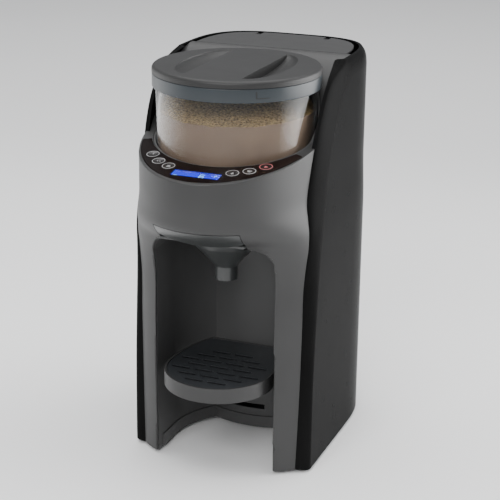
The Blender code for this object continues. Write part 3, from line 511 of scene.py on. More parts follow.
def mark_edges(made, width, angle, wide):
    """Weight each sharp edge by its radius, and return the largest radius."""
    bm = bmesh.new()
    bm.from_mesh(made.data)
    layer = bm.edges.layers.float.get("bevel_weight_edge") or bm.edges.layers.float.new("bevel_weight_edge")
    radius_of = {}
    for edge in bm.edges:
        if len(edge.link_faces) != 2 or edge.calc_face_angle(0.0) < math.radians(angle):
            continue
        middle = (edge.verts[0].co + edge.verts[1].co) / 2
        wanted = wide(middle) if wide else None
        radius_of[edge] = width if wanted is None else wanted
    largest = max([width, *radius_of.values()])
    for edge, radius in radius_of.items():
        edge[layer] = radius / largest
    bm.to_mesh(made.data)
    bm.free()
    return largest


def soften(made, width, segments, angle=38.0, wide=None):
    """Round the sharp edges; wide(midpoint) may ask for a larger radius on some of them."""
    clean(made)
    bevel = made.modifiers.new("round", "BEVEL")
    bevel.width = mark_edges(made, width, angle, wide)
    bevel.segments = segments
    bevel.limit_method = "WEIGHT"
    bevel.use_clamp_overlap = wide is None
    bevel.loop_slide = False
    bake(made)
    smooth(made)
    evened = made.modifiers.new("evened", "WEIGHTED_NORMAL")
    evened.keep_sharp = True
    return bake(made)


def smooth(made, angle=32.0):
    """Smooth shading, broken where faces meet at more than the angle."""
    made.data.shade_smooth()
    made.data.set_sharp_from_angle(angle=math.radians(angle))
    return made


def dress(made, finish, body, *nodes):
    """Give a piece its material and its body, and hide the CAD nodes it stands for."""
    made.data.materials.clear()
    made.data.materials.append(MATERIALS[finish])
    made.hide_render = False
    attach(made, body)
    if nodes:
        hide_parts(*nodes)


# ---- casing form ----
def arc(centre, radius, start, end, count):
    """Points on a circle between two angles in degrees."""
    turns = [math.radians(start + (end - start) * i / count) for i in range(count + 1)]
    return [on_circle(centre, radius, turn) for turn in turns]


def eased(share):
    """A smooth step from 0 to 1."""
    share = min(max(share, 0.0), 1.0)
    return share * share * (3 - 2 * share)


def mirrored(side):
    """The other half of an outline, walked back."""
    return [(-x, y) for x, y in reversed(side)]


def rear_arc(half_width, inset):
    """Right to left round the squarer back, from one flank to the other."""
    depth = REAR_Y - REAR_ARC_Y - inset
    back = []
    for step in range(REAR_FACETS + 1):
        turn = math.pi * step / REAR_FACETS
        across = abs(math.cos(turn)) ** (2 / REAR_POWER)
        along = max(math.sin(turn), 0.0) ** (2 / REAR_POWER) if 0 < step < REAR_FACETS else 0.0
        back.append((math.copysign(half_width * across, math.cos(turn)), REAR_ARC_Y + depth * along))
    return back


def front_ellipse(height):
    """Half width and centre of the front's curve: the head is narrower than the columns."""
    lean = eased((height - GREY_LEAN_Z) / LEAN_RISE)
    half_width = GREY_HALF_WIDTH + (GREY_HEAD_HALF_WIDTH - GREY_HALF_WIDTH) * lean
    return half_width, FRONT_ARC_Y + (HOPPER_Y - FRONT_ARC_Y) * lean


def front_curve(height, front_y, turn_y, inset):
    """Right half of the front, from the middle round to where it turns out to the flank."""
    half_width, centre_y = front_ellipse(height)
    reach = centre_y - front_y - inset
    end = math.asin(min(max(centre_y - turn_y, 0.0) / reach, 1.0))
    side = []
    for step in range(FRONT_FACETS + 1):
        turn = math.pi / 2 + (end - math.pi / 2) * step / FRONT_FACETS
        side.append(((half_width - inset) * math.cos(turn), centre_y - reach * math.sin(turn)))
    end_x, end_y = side[-1]
    side[-1] = (end_x, max(turn_y, end_y))
    return side


def casing_outline(height, front_y, inset, black):
    """Plan of a casing: elliptic front, then (black only) the rolled lip, flat flanks, squarer back."""
    past_seam = 0.0 if black else GREY_PAST_SEAM
    side = front_curve(height, front_y, min(seam_y(height) + inset + past_seam, LIP_END_Y), inset)
    start_x, start_y = side[-1]
    flank_x = front_ellipse(height)[0] - inset
    lip_y = LIP_END_Y
    if black:
        lean = eased((height - SHELL_LEAN_Z) / LEAN_RISE)
        flank_x = HALF_WIDTH + (HEAD_HALF_WIDTH - HALF_WIDTH) * lean - inset
        lip_y = min(max(lip_y_at(height) + inset, start_y + 0.002), LIP_END_Y)
    for step in range(1, LIP_FACETS + 1):
        turn = math.pi / 2 * step / LIP_FACETS
        x = start_x + (flank_x - start_x) * math.sin(turn)
        side.append((x, start_y + (lip_y - start_y) * (1 - math.cos(turn))))
    for step in range(1, FLANK_FACETS):
        side.append((flank_x, lip_y + (REAR_ARC_Y - lip_y) * step / FLANK_FACETS))
    return side + rear_arc(flank_x, inset) + mirrored(side)[:-1]


def read_line(line, value, known=0):
    """The other coordinate of a line's point where the known one has a given value."""
    return float(np.interp(value, [p[known] for p in line], [p[1 - known] for p in line]))


def seam_y(height):
    return read_line(SEAM, height, 1)


def lip_y_at(height):
    return read_line(LIP, height)


def deck_height(y):
    return read_line(DECK, y)


def section_at(height):
    """Front reach and top roll of the casing at a height, eased between its sections."""
    heights, fronts, rolls = np.array(SECTIONS).T
    i = int(np.clip(np.searchsorted(heights, height) - 1, 0, len(heights) - 2))
    slopes = np.gradient(fronts, heights)
    span = heights[i + 1] - heights[i]
    t = float(np.clip((height - heights[i]) / span, 0.0, 1.0))
    front = ((1 + 2 * t) * (1 - t) ** 2 * fronts[i] + t * (1 - t) ** 2 * span * slopes[i]
             + t * t * (3 - 2 * t) * fronts[i + 1] + t * t * (t - 1) * span * slopes[i + 1])
    return float(front), float(np.interp(height, heights, rolls))


def casing_heights(low):
    """Heights of a casing's sections, with the lowest one moved to the given height."""
    steps = [height for start, end, count in HEIGHT_RUNS for height in np.linspace(start, end, count)]
    return [low] + steps[1:]


def casing(inset=0.0, low=0.003, black=True, name="helper"):
    """The outer form of the black or the grey casing, offset inwards."""
    bm = bmesh.new()
    rings = []
    for height in casing_heights(low):
        front_y, roll = section_at(height)
        outline = casing_outline(height, front_y, inset + roll, black)
        rings.append([bm.verts.new((x, y, height)) for x, y in outline])
    for lower, upper in zip(rings, rings[1:]):
        bridge(bm, lower, upper)
    bm.faces.new(rings[0])
    bm.faces.new(rings[-1])
    return link(name, mesh_of(bm, name))


def spline(line, pieces=6):
    """Catmull-Rom points through a 2D line."""
    points = [Vector(p) for p in line]
    points = [2 * points[0] - points[1]] + points + [2 * points[-1] - points[-2]]
    result = []
    for a, b, c, d in zip(points, points[1:], points[2:], points[3:]):
        for step in range(pieces):
            t = step / pieces
            result.append(tuple(0.5 * (2 * b + (c - a) * t + (2 * a - 5 * b + 4 * c - d) * t ** 2
                                       + (3 * b - a - 3 * c + d) * t ** 3)))
    result.append(tuple(points[-2]))
    return result


DECK = spline(DECK_LINE[:-1]) + [DECK_LINE[-1]]
SEAM = spline(SEAM_LINE[:-1]) + [SEAM_LINE[-1]]
LIP = spline(LIP_LINE)


def side_region(line, far):
    """Everything to one side of a line in the side view, closed by the far corners."""
    return prism(list(line) + list(far), -0.120, 0.120, axis="X")


def above_deck(drop=0.0):
    return side_region([(y, z - drop) for y, z in DECK], ((0.160, 0.380), (-0.150, 0.380)))


def behind_seam(shift=0.0):
    return side_region([(y + shift, z) for y, z in SEAM], ((0.200, 0.360), (0.200, -0.010)))


# ---- bay form ----
def bay_outline(offset, front_y=-0.200):
    """Plan of the bay: elliptic sides to two cusps, and a back that bows forward between them."""
    half, depth, cusp_y = BAY_HALF + offset, BAY_DEPTH + offset, BAY_CUSP_Y + offset
    side = []
    for step in range(BAY_SIDE_FACETS + 1):
        y = BAY_CENTRE_Y + (cusp_y - BAY_CENTRE_Y) * math.sin(math.pi / 2 * step / BAY_SIDE_FACETS)
        side.append((half * math.sqrt(1 - ((y - BAY_CENTRE_Y) / depth) ** 2), y))
    cusp_x = side[-1][0]
    back_y = BAY_BACK_Y + offset
    back = []
    for step in range(1, BAY_BACK_FACETS):
        share = 1 - 2 * step / BAY_BACK_FACETS
        back.append((cusp_x * share, back_y + (cusp_y - back_y) * share ** 2))
    return [(half, front_y)] + side + back + mirrored(side) + [(-half, front_y)]


def arch_outline(offset, bottom=-0.020):
    """Front view of the bay's mouth, with its rounded upper corners."""
    half = BAY_HALF + offset + 0.0004
    top = BAY_TOP_Z + offset
    radius = BAY_CORNER + offset
    right = arc((half - radius, top - radius), radius, 0, 90, 20)
    return [(half, bottom)] + right + mirrored(right) + [(-half, bottom)]


def bay_space(offset, name="helper"):
    """The room of the bay: its plan, limited by its arch."""
    space = prism(bay_outline(offset), BELOW, BAY_TOP_Z + 0.010, name=name)
    return boolean(space, prism(arch_outline(offset), -0.210, 0.060, axis="Y"), "INTERSECT")


# ---- visible shells ----
def panel_outline(offset=0.0):
    """The crescent between the hopper's well and the front edge of the deck."""
    outer, inner = [], []
    for step in range(-PANEL_STEPS, PANEL_STEPS + 1):
        turn = math.radians(PANEL_HALF_ANGLE) * step / PANEL_STEPS
        away = Vector((math.sin(turn), -math.cos(turn)))
        reach = 1.0 / math.hypot(away.x / PANEL_RADII[0], away.y / PANEL_RADII[1])
        outer.append(away * (reach + offset) + Vector(HOPPER))
        inner.append(away * (WELL_RADIUS + 0.0014 - offset) + Vector(HOPPER))
    return [tuple(p) for p in outer] + [tuple(p) for p in reversed(inner)]


TILT = Matrix.Translation(PANEL_FOOT) @ Matrix.Rotation(PANEL_SLOPE, 4, "X") @ Matrix.Translation(-PANEL_FOOT)


def on_panel(made):
    """Tilt a piece that was built level so that it lies on the panel's slope."""
    made.data.transform(TILT)
    return made


def middle_of(node):
    low, high = (Vector(corner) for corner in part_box(node))
    return (low + high) / 2


def key_places():
    """Middles of the six keys, level with the panel before it is tilted."""
    return [TILT.inverted() @ middle_of(key) for key in KEYS]


def window_box(half, low, high, name="helper"):
    """A box over the display's window, level with the panel before it is tilted."""
    return box((-half[0], WINDOW_Y - half[1], low), (half[0], WINDOW_Y + half[1], high), name)


def housing_body():
    """Grey front ahead of the seam, with a tongue that runs on inside the black shell."""
    made = casing(black=False, name="housing")
    boolean(made, behind_seam())
    boolean(made, casing(inset=WALL + TONGUE_GAP, low=0.004), "UNION")
    boolean(made, above_deck())
    return boolean(made, box((-0.1, LID_SEAM_Y, -0.01), (0.1, 0.2, 0.4)))


def housing_rooms():
    """Hollows of the grey front and of its tongue, and the room behind the tongue's rim."""
    front_room = casing(inset=WALL, low=BELOW, black=False)
    boolean(front_room, above_deck(WALL))
    boolean(front_room, behind_seam(-0.004))
    middle_room = casing(inset=2 * WALL + TONGUE_GAP, low=BELOW)
    boolean(middle_room, above_deck(WALL + 0.0003))
    tail = behind_seam(0.0083)
    boolean(tail, above_deck(0.0057))
    return front_room, middle_room, tail


def open_for_panel(made):
    """Recess for the panel, with through holes for its keys and its display."""
    low, high = PANEL_FOOT.z - THROUGH, PANEL_FOOT.z + THROUGH
    boolean(made, on_panel(prism(panel_outline(0.0003), PANEL_FOOT.z - 0.0012, high)))
    for place in key_places():
        boolean(made, on_panel(cylinder(KEY_RADIUS + 0.0004, low, high, (place.x, place.y), 48)))
    boolean(made, on_panel(window_box(DISPLAY_ROOM_HALF, low, high)))


def front_housing():
    """The grey front: nose, deck and columns, with the well, the bay's mouth and the drawer's slot."""
    made = housing_body()
    for room in housing_rooms():
        boolean(made, room)
    boolean(made, cylinder(WELL_RADIUS, 0.230, 0.360, HOPPER, TURN_STEPS))
    boolean(made, cylinder(LID_RADIUS + 0.001, 0.3215, 0.360, HOPPER, TURN_STEPS))
    boolean(made, bay_space(0.0003))
    drawer = DRAWER_HALF_WIDTH + 0.0004
    boolean(made, box((-drawer, -0.140, 0.200), (drawer, -0.0906, COVER_FLAP_Z[1] + 0.0004)))
    open_for_panel(made)
    soften(made, 0.0004, 3, 40.0, housing_edge)
    dress(made, "housing_grey", "machine", "front_housing")


def housing_edge(middle):
    """Edge radius of the housing: large along the nose and round the bay's mouth."""
    on_deck = abs(middle.z - deck_height(middle.y)) < 0.0006
    on_nose = middle.z > 0.255 and middle.y < -0.050
    if on_deck and on_nose and not near_panel(middle):
        return 0.0004 + 0.0009 * eased((-0.056 - middle.y) / 0.020)
    at_drawer = abs(middle.x) < 0.0380 and middle.z > 0.195
    in_mouth = abs(middle.x) < 0.0542 and middle.z < 0.2075 and not at_drawer
    if in_mouth and on_front_face(middle):
        return 0.0021
    return None


def on_front_face(middle):
    """Whether a point lies on the grey front's outer surface rather than on its inner one."""
    front_y = section_at(middle.z)[0]
    half_width, centre_y = front_ellipse(middle.z)
    share = math.hypot(middle.x / half_width, (middle.y - centre_y) / (centre_y - front_y))
    return middle.y < front_y + 0.024 and share > 0.988


def near_panel(middle):
    """Whether a point of the deck's rim lies inside the panel's recess outline."""
    across, along = (radius + 0.0008 for radius in PANEL_RADII)
    return math.hypot(middle.x / across, (middle.y - HOPPER_Y) / along) < 1.0


def rear_shell():
    """Black side and rear casing, with its mains inlet opening and its rear vents."""
    made = casing(name="shell")
    boolean(made, side_region([(y + 0.0004, z) for y, z in SEAM], ((-0.200, 0.360), (-0.200, -0.010))))
    boolean(made, box((-0.1, -0.2, TOP_Z), (0.1, 0.2, 0.37)))
    boolean(made, casing(inset=WALL, low=BELOW))
    boolean(made, box((-INLET_HALF_WIDTH, 0.115, INLET_Z[0]), (INLET_HALF_WIDTH, 0.140, INLET_Z[1])))
    for row in range(VENT_ROWS):
        height = VENT_LOW_Z + VENT_PITCH * row
        boolean(made, box((-VENT_HALF_WIDTH, 0.115, height), (VENT_HALF_WIDTH, 0.140, height + VENT_HEIGHT)))
    soften(made, 0.0007, 3, 40.0)
    dress(made, "shell_black", "machine", "rear_shell")


def bay_liner():
    """Wall, ceiling and plinth of the bay, slotted for the tray's hook and open for the funnel."""
    made = bay_space(LINER_WALL, "bay")
    room = bay_space(0.0)
    boolean(room, box((-0.1, -0.25, -0.02), (0.1, 0.1, PLINTH_Z)))
    boolean(made, room)
    boolean(made, bay_space(-0.0012))
    mouth = bay_space(0.0)
    boolean(mouth, box((-0.1, -0.060, -0.02), (0.1, 0.1, 0.3)))
    boolean(made, mouth)
    slot_half = HOOK_HALF_WIDTH + 0.0012
    for height in HOOK_HEIGHTS:
        boolean(made, box((-slot_half, -0.005, height - 0.0022), (slot_half, 0.025, height + 0.0022)))
    boolean(made, box((-0.0325, -0.220, 0.200), (0.0325, FUNNEL_Y + 0.034, 0.230)))
    boolean(made, casing(inset=WALL + 0.0003, low=0.0034, black=False), "INTERSECT")
    soften(made, 0.0005, 2, 40.0)
    # The liner's lighter grey is painted light in the shaded bay.
    dress(made, "bay_grey", "machine", "bay_liner")


# ---- control panel ----
def stadium(middle, half_length, half_width, steps=8):
    """A slot outline with round ends, lying along x."""
    x, y = middle
    right = arc((x + half_length - half_width, y), half_width, -90, 90, steps)
    left = arc((x - half_length + half_width, y), half_width, 90, 270, steps)
    return right + left


def control_panel():
    """The crescent with its key holes and window, and the lit display under the window."""
    low, high = PANEL_TOP_Z - THROUGH, PANEL_TOP_Z + THROUGH
    made = prism(panel_outline(), PANEL_FOOT.z - 0.0009, PANEL_TOP_Z, name="panel")
    for place in key_places():
        boolean(made, cylinder(KEY_RADIUS + 0.0003, low, high, (place.x, place.y), 64))
    boolean(made, window_box(WINDOW_HALF, low, high))
    soften(made, 0.00025, 2, 40.0)
    dress(on_panel(made), "panel_black", "machine", "control_panel")
    level = PANEL_TOP_Z - DISPLAY_DEPTH
    glow = on_panel(window_box(DISPLAY_HALF, PANEL_TOP_Z - 0.0060, level, "display"))
    dress(soften(glow, 0.0004, 2), "display_blue", "machine", "lcd_module")
    display_marks(level)


def display_marks(level):
    """A seven-segment digit and two small status bars on the display."""
    bars = [(DIGIT.x, DIGIT.y + row * 0.0026, 0.0016, DIGIT_STROKE) for row in (-1, 1, 0)]
    for column, row in ((-1, -1), (1, -1), (-1, 1)):
        bars.append((DIGIT.x + column * 0.0018, DIGIT.y + row * 0.0013, DIGIT_STROKE, 0.0011))
    bars += [(-0.0170, -0.1128, 0.0018, 0.0005), (0.0155, -0.1076, 0.0014, 0.0003)]
    outlines = [[(x - a, y - b), (x + a, y - b), (x + a, y + b), (x - a, y + b)] for x, y, a, b in bars]
    marks = plates("display_marks", outlines, level, level + 0.00015)
    dress(on_panel(marks), "display_mark", "machine")


def plates(name, outlines, low, high):
    """Several flat plates as one mesh."""
    bm = bmesh.new()
    for outline in outlines:
        extrude(bm, [(x, y, low) for x, y in outline], (0, 0, high - low))
    return link(name, mesh_of(bm, name))


def key_glyph(index, place):
    """Outlines of a key's symbol: drop, two bars, triangle, two bars, two dots, upright."""
    x, y = place.x, place.y

    def stroke(right, up, half_length):
        return stadium((x + right, y + up), half_length, GLYPH_STROKE, 4)

    shapes = (
        [[(x - 0.0012, y - 0.0006), (x, y - 0.0016), (x + 0.0012, y - 0.0006), (x, y + 0.0018)]],
        [stroke(0.0, 0.0008, 0.0020), stroke(0.0, -0.0008, 0.0013)],
        [[(x - 0.0011, y - 0.0015), (x + 0.0017, y), (x - 0.0011, y + 0.0015)]],
        [stroke(0.0, 0.0008, 0.0013), stroke(0.0, -0.0008, 0.0019)],
        [stroke(-0.0009, 0.0, 0.0006), stroke(0.0011, 0.0, 0.0006)],
        [[(x - 0.0003, y - 0.0002), (x + 0.0003, y - 0.0002), (x + 0.0003, y + 0.0022),
          (x - 0.0003, y + 0.0022)]],
    )
    return shapes[index]


def ring_outline(place, radius, width, steps=40):
    """Quads of a thin ring, so that it can be built like the other plates."""
    inner, outer = (arc(place, size, 0, 360, steps) for size in (radius - width, radius))
    return [[inner[i], outer[i], outer[i + 1], inner[i + 1]] for i in range(steps)]


def keys():
    """Six round keys with a dished middle, each with its ring and its symbol."""
    top = KEY_TOP_Z
    profile = [(0.0, top - 0.0045), (KEY_RADIUS, top - 0.0045), (KEY_RADIUS, top), (0.0044, top),
               (0.0030, top - 0.0003), (0.0, top - 0.0004)]
    for index, (name, place) in enumerate(zip(KEYS, key_places())):
        body = name.replace("_button", "_key")
        finish = "key_mark_red" if name.startswith("start") else "key_mark"
        cap = turned(name + "_cap", rounded(profile, 0.0004), (place.x, place.y), 64)
        dress(on_panel(smooth(cap)), "key_black", body, name)
        ring = plates(name + "_ring", ring_outline(place, 0.0053, 0.0005), top - 0.0003, top + 0.00008)
        dress(on_panel(ring), finish, body)
        glyph = plates(name + "_glyph", key_glyph(index, place), top - 0.0006, top - 0.0001)
        dress(on_panel(glyph), finish, body)


# ---- powder container and lid ----
def tube(radii, heights):
    """Closed (r, z) profile of a plain tube."""
    return [(radii[0], heights[1]), (radii[1], heights[1]), (radii[1], heights[0]), (radii[0], heights[0])]


def powder_container():
    """The clear hopper wall, which lifts out of the seat below it."""
    wall = turned("hopper", rounded(tube(HOPPER_RADII, HOPPER_Z), 0.0006), HOPPER, TURN_STEPS)
    dress(smooth(wall), "clear_plastic", "container", "powder_container")


def container_seat():
    """The dish that the hopper stands in, with the powder outlet and room for the pinion."""
    (inner, outer), (low, floor, rim) = SEAT_RADII, SEAT_Z
    profile = [(0.0, floor), (inner, floor), (inner, rim), (outer, rim), (outer, low), (0.0, low)]
    made = turned("seat", profile, HOPPER, TURN_STEPS)
    boolean(made, above_deck(0.0004))
    boolean(made, cylinder(OUTLET_RADIUS, 0.230, 0.2502, (0.0, HOPPER_Y - OUTLET_OFFSET), 50))
    boolean(made, cylinder(0.0143, 0.230, 0.2585, (0.0, middle_of("drive_pinion").y), 48))
    dress(soften(made, 0.0004, 2), "inner_grey", "machine", "container_seat")


def powder_level(x, y):
    """Height of the powder's surface: a low heap, higher towards one side, with small grains."""
    reach = math.hypot(x, y - HOPPER_Y) / POWDER_RADII[1]
    turn = math.atan2(x, HOPPER_Y - y)
    wave = 0.00176 * (1 - math.cos(1.6 * (turn - 0.18)))
    heap = 0.0040 * (1 - reach ** 2)
    place = Vector((x, y, 0.0))
    grain = 0.0011 * noise.noise(place * 160.0) + 0.0006 * noise.noise(place * 420.0)
    return POWDER_Z + wave * min(reach, 1.0) + heap + grain


def powder():
    """The milk powder in the hopper, hollow below where the stirrer turns."""
    steps, rings = 200, 44
    inner, outer = POWDER_RADII
    low, roof, brim = 0.2627, 0.2733, 0.2990
    bm = bmesh.new()

    def ring(radius, height=None):
        places = [on_circle(HOPPER, radius, 2 * math.pi * i / steps) for i in range(steps)]
        return [bm.verts.new((x, y, powder_level(x, y) if height is None else height)) for x, y in places]

    levels = [ring(outer * k / rings) for k in range(1, rings + 1)]
    levels += [ring(outer, low + (brim - low) * k / 3) for k in (3, 2, 1, 0)]
    levels += [ring(inner, low), ring(inner, roof)]
    for first, second in zip(levels, levels[1:]):
        bridge(bm, first, second)
    crown = bm.verts.new((0.0, HOPPER_Y, powder_level(*HOPPER)))
    for i in range(steps):
        bm.faces.new((crown, levels[0][i], levels[0][(i + 1) % steps]))
    bm.faces.new(levels[-1])
    made = link("powder", mesh_of(bm, "powder"))
    dress(smooth(made, 60.0), "powder", "container")
    # Sideways faces take the darker packed powder, a painted shade on the powder's sides; faces on top keep
    # the golden powder.
    made.data.materials.append(MATERIALS["packed_powder_painted_shade"])
    for face in made.data.polygons:
        face.material_index = 1 if face.normal.z < 0.35 else 0


def lid():
    """The twist-on lid: a rolled edge, and a raised bar between two scooped finger hollows."""
    (across, down), low = LID_ROLL, 0.3370
    turns = [math.pi / 2 * k / 12 for k in range(12, -1, -1)]
    edge = [(LID_TOP_RADIUS - across * (1 - math.cos(turn)), low + down * math.sin(turn)) for turn in turns]
    profile = [(0.0, TOP_Z), *edge, (LID_TOP_RADIUS, 0.3343), (LID_PLUG_RADIUS, 0.3343),
               (LID_PLUG_RADIUS, 0.3268), (0.0, 0.3268)]
    top = turned("lid", profile, HOPPER, TURN_STEPS)
    for side in (1, -1):
        scoop = link("helper", scoop_mesh(side))
        boolean(scoop, box((-BAR_HALF_WIDTH, -0.1, 0.3), (BAR_HALF_WIDTH, 0.1, 0.36)))
        boolean(top, scoop)
    soften(top, 0.0011, 4, 30.0)
    dress(smooth(top, 50.0), "lid_grey", "lid", "lid_top")


def lid_skirt():
    """The blue-grey band under the lid's edge."""
    band = turned("skirt", rounded(tube(SKIRT_RADII, SKIRT_Z), 0.0007), HOPPER, TURN_STEPS)
    dress(smooth(band), "skirt_blue_grey", "lid", "lid_skirt")


def scoop_mesh(side):
    """An ellipsoid whose half beyond the lid's bar is a finger hollow."""
    middle = Matrix.Translation((side * BAR_HALF_WIDTH, HOPPER_Y, TOP_Z + 0.0010))
    bm = bmesh.new()
    bmesh.ops.create_uvsphere(bm, u_segments=96, v_segments=48, radius=1.0,
                              matrix=middle @ Matrix.Diagonal((*SCOOP_RADII, 1.0)))
    return mesh_of(bm, "scoop")


def lock_mark():
    """A small raised corner mark on the skirt that lines up when the lid is locked."""
    steps = 8
    bm = bmesh.new()
    for low, high, start, end in ((0.3262, 0.3269, -56.0, -47.0), (0.3262, 0.3320, -56.0, -55.2)):
        inner, outer = (arc(HOPPER, radius, start, end, steps) for radius in (0.0693, 0.06975))
        for i in range(steps):
            corners = [bm.verts.new((*line[i + k], height))
                       for line in (inner, outer) for height in (low, high) for k in (0, 1)]
            for face in ((0, 1, 3, 2), (4, 5, 7, 6), (0, 1, 5, 4), (2, 3, 7, 6), (0, 2, 6, 4), (1, 3, 7, 5)):
                bm.faces.new([corners[k] for k in face])
    bmesh.ops.remove_doubles(bm, verts=bm.verts, dist=0.00001)
    dress(link("lock_mark", mesh_of(bm, "lock_mark")), "lid_grey", "lid")


# ---- funnel and tray ----
def mixing_funnel():
    """The cone with its nozzle, and the flat flange that slides in as a drawer."""
    rim_z = FLANGE_Z + 0.002
    cone = [(0.0285, rim_z), (0.0310, rim_z), (0.0310, 0.2000), (0.0273, 0.1940), (0.0121, 0.1772),
            (0.0097, 0.1740), (0.0097, 0.1620), (0.0075, 0.1620), (0.0075, 0.1745), (0.0100, 0.1780),
            (0.0250, 0.1950), (0.0285, 0.2010)]
    made = turned("funnel", rounded(cone, 0.0012), (0.0, FUNNEL_Y), 96)
    dress(smooth(made), "funnel_grey", "funnel", "mixing_funnel")
    half = DRAWER_HALF_WIDTH - 0.0002
    high = (half, FUNNEL_Y + 0.0330, FLANGE_Z + 0.0025)
    flange = box((-half, -0.0990, FLANGE_Z), high, "funnel_flange")
    boolean(flange, cylinder(0.0300, 0.200, 0.220, (0.0, FUNNEL_Y), 96))
    dress(soften(flange, 0.0006, 3), "funnel_grey", "funnel")


def funnel_cover():
    """The flap that closes the drawer and carries on the front's curve."""
    low, high = COVER_FLAP_Z
    made = casing(inset=0.0001, black=False, name="cover")
    boolean(made, box((-DRAWER_HALF_WIDTH, -0.140, low), (DRAWER_HALF_WIDTH, -0.0995, high)), "INTERSECT")
    boolean(made, casing(inset=0.0024, black=False))
    dress(soften(made, 0.0006, 3, 40.0), "funnel_grey", "funnel", "funnel_cover")


def tray_outline(offset=0.0):
    """Plan of the tray: half a circle at the front, slightly tapering sides, straight back."""
    radius, length = TRAY_RADIUS + offset, TRAY_LENGTH + offset
    span = TRAY_BACK_Y + offset - TRAY_Y
    front = arc((0.0, TRAY_Y), radius, 180, 360, 72)
    side = []
    for step in range(1, 20):
        along = span * step / 19
        side.append((radius * math.sqrt(1 - (along / length) ** 2), TRAY_Y + along))
    return front + side + mirrored(side)


def drip_tray():
    """The shallow tray with a ledge for its grate and a hook at its back."""
    made = prism(tray_outline(), TRAY_LOW_Z, TRAY_HIGH_Z, name="tray")
    above = TRAY_HIGH_Z + 0.010
    boolean(made, prism(tray_outline(-0.0045), TRAY_LOW_Z + 0.002, above))
    boolean(made, prism(tray_outline(-0.0020), 0.0832, above))
    low = (-HOOK_HALF_WIDTH, 0.001, HOOK_HEIGHTS[-1] - 0.0018)
    boolean(made, box(low, (HOOK_HALF_WIDTH, 0.0130, HOOK_HEIGHTS[-1] + 0.0018)), "UNION")
    dress(soften(made, 0.0009, 3, 40.0), "housing_grey", "tray", "drip_tray")


def grate_reach(y):
    """How far to the side a slot may reach at a given depth of the grate."""
    if y < TRAY_Y:
        return math.sqrt(max(0.0, 0.0425 ** 2 - (y - TRAY_Y) ** 2))
    return 0.0405 - 0.10 * (y - TRAY_Y)


def drip_grate():
    """The dark grate: staggered rows of short slots, wherever a whole slot fits."""
    made = prism(tray_outline(-0.0024), 0.0835, 0.0856, name="grate")
    boolean(made, prism(tray_outline(-0.0050), 0.0800, 0.0845))
    across, along = SLOT_PITCH
    for row in range(SLOT_ROWS):
        y = TRAY_Y + along * (row - SLOT_ROWS // 2)
        for column in (-1, 0, 1) if row % 2 else (-1.5, -0.5, 0.5, 1.5):
            x = column * across
            if abs(x) + SLOT_HALF_LENGTH < grate_reach(y):
                boolean(made, prism(stadium((x, y), SLOT_HALF_LENGTH, SLOT_HALF_WIDTH), 0.07, 0.09))
    dress(soften(made, 0.0003, 2, 40.0), "grate_black", "grate", "drip_grate")


# ---- tank cover and feet ----
def tank_cover():
    """The cover over the water tank: a plate with a hinge knuckle between the tank's two ears."""
    half, front_y = COVER_HALF_WIDTH, -0.100
    outline = [(half, front_y), *rear_arc(half, COVER_INSET), (-half, front_y)]
    made = prism(outline, COVER_LOW_Z, TOP_Z, name="cover_plate")
    boolean(made, box((-0.1, -0.2, 0.3), (0.1, LID_SEAM_Y + 0.0004, 0.36)))
    knuckle, bore = (arc(HINGE, radius, 0, 345, 23) for radius in (KNUCKLE_RADIUS, PIN_BORE_RADIUS))
    boolean(made, prism(knuckle, -0.0295, 0.0295, axis="X"), "UNION")
    boolean(made, prism(bore, -0.050, 0.050, axis="X"))
    for middle in (EAR_X, -EAR_X):
        boolean(made, box((middle - 0.0026, HINGE[0] - 0.0060, 0.320), (middle + 0.0026, 0.130, 0.350)))
    boolean(made, cylinder(LID_RADIUS + 0.0012, 0.320, 0.350, HOPPER, TURN_STEPS))
    dress(soften(made, 0.0006, 3, 40.0), "housing_grey", "tank_cover", "tank_lid")


def feet():
    """Four rubber feet, each with a chamfered rim."""
    profile = [(0.0, 0.004), (0.0080, 0.004), (0.0080, 0.0010), (0.0070, 0.0), (0.0, 0.0)]
    for index in range(1, 5):
        middle = middle_of(f"foot_{index}")
        made = turned(f"pad_{index}", rounded(profile, 0.0005), (middle.x, middle.y), 48)
        dress(smooth(made), "rubber", "machine", f"foot_{index}")


# ---- stage ----
def camera():
    """The viewing angle: from the front right and a little above, with a long lens."""
    yaw, pitch, roll = math.radians(21.7), math.radians(19.21), math.radians(0.43)
    away = Vector((math.sin(yaw) * math.cos(pitch), -math.cos(yaw) * math.cos(pitch), math.sin(pitch)))
    right = Vector((math.cos(yaw), math.sin(yaw), 0.0))
    up = away.cross(right)
    turned_right = right * math.cos(roll) + up * math.sin(roll)
    turned_up = up * math.cos(roll) - right * math.sin(roll)
    distance = 1.26555
    place = Vector((0.0, HOPPER_Y, 0.170)) + away * distance
    data = bpy.data.cameras.new("camera")
    data.sensor_width = 36.0
    data.lens = 107.05
    data.shift_x = 0.02876
    data.shift_y = 0.02206
    made = link("camera", data)
    turn = Matrix((turned_right, turned_up, away)).transposed().to_4x4()
    made.matrix_world = Matrix.Translation(place) @ turn
    bpy.context.scene.camera = made


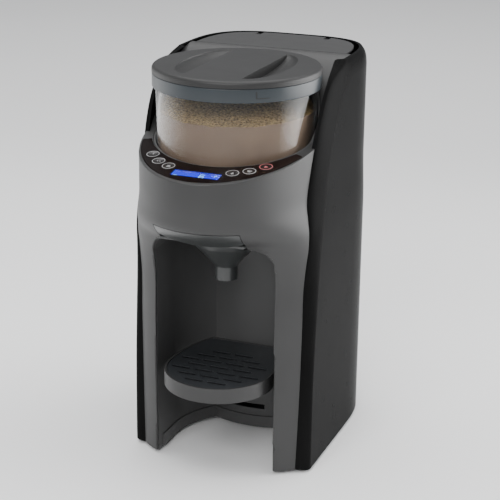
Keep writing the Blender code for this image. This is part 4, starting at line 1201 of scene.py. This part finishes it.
def softbox(name, place, aim, size, power, spread=180.0):
    """A rectangular studio light; a smaller spread gives its reflection softer edges."""
    data = bpy.data.lights.new(name, "AREA")
    data.spread = math.radians(spread)
    data.shape = "RECTANGLE"
    data.size, data.size_y = size
    data.energy = power
    made = link(name, data)
    made.location = place
    made.rotation_euler = (Vector(aim) - Vector(place)).to_track_quat("-Z", "Y").to_euler()
    made.visible_camera = False


def floor():
    """A plain pale studio floor."""
    bm = bmesh.new()
    bmesh.ops.create_grid(bm, x_segments=2, y_segments=2, size=9.0)
    made = link("floor", mesh_of(bm, "floor"))
    finish = material("studio_floor", grey(0.86), 0.45)
    vary_roughness(finish, 0.40, 0.50, 3.0)
    made.data.materials.append(finish)


def lights():
    """A large key in front, a larger light above, and two low cards that fill in the flanks."""
    world = bpy.data.worlds.new("studio")
    world.use_nodes = True
    inputs = world.node_tree.nodes["Background"].inputs
    inputs["Color"].default_value = (0.94, 0.96, 1.0, 1.0)
    inputs["Strength"].default_value = 0.30
    bpy.context.scene.world = world
    softbox("key", (0.10, -2.3, 1.7), (0, 0, 0.10), (1.8, 1.4), 68.0)
    softbox("top", (0.0, 0.4, 2.6), (0, 0, 0.0), (3.4, 3.4), 115.0)
    softbox("left_card", (-0.95, -0.02, 0.28), (0, 0, 0.20), (1.4, 0.8), 2.0, 85.0)
    softbox("right_card", (0.80, 0.44, 0.28), (0, 0, 0.20), (1.3, 0.9), 7.8, 85.0)


# ---- the whole scene ----
def dress_nodes():
    """Carried-over CAD nodes keep their shape and take the finished materials."""
    for name, node in frame["nodes"].items():
        node.data.materials.clear()
        node.data.materials.append(MATERIALS[FINISH_OF[name]])
        edge = node.modifiers.new("edge", "BEVEL")
        edge.width = 0.00025
        edge.segments = 2
        edge.limit_method = "ANGLE"
        edge.angle_limit = math.radians(40.0)


MATERIALS = make_materials()
FINISH_OF = {item["node"]: item["material_slot"] for item in frame["record"]["subparts"]}

dress_nodes()
camera()
floor()
lights()
front_housing()
rear_shell()
bay_liner()
control_panel()
keys()
powder_container()
container_seat()
powder()
lid()
lid_skirt()
lock_mark()
mixing_funnel()
funnel_cover()
drip_tray()
drip_grate()
tank_cover()
feet()
for helper in HIDDEN:
    bpy.data.objects.remove(helper, do_unlink=True)
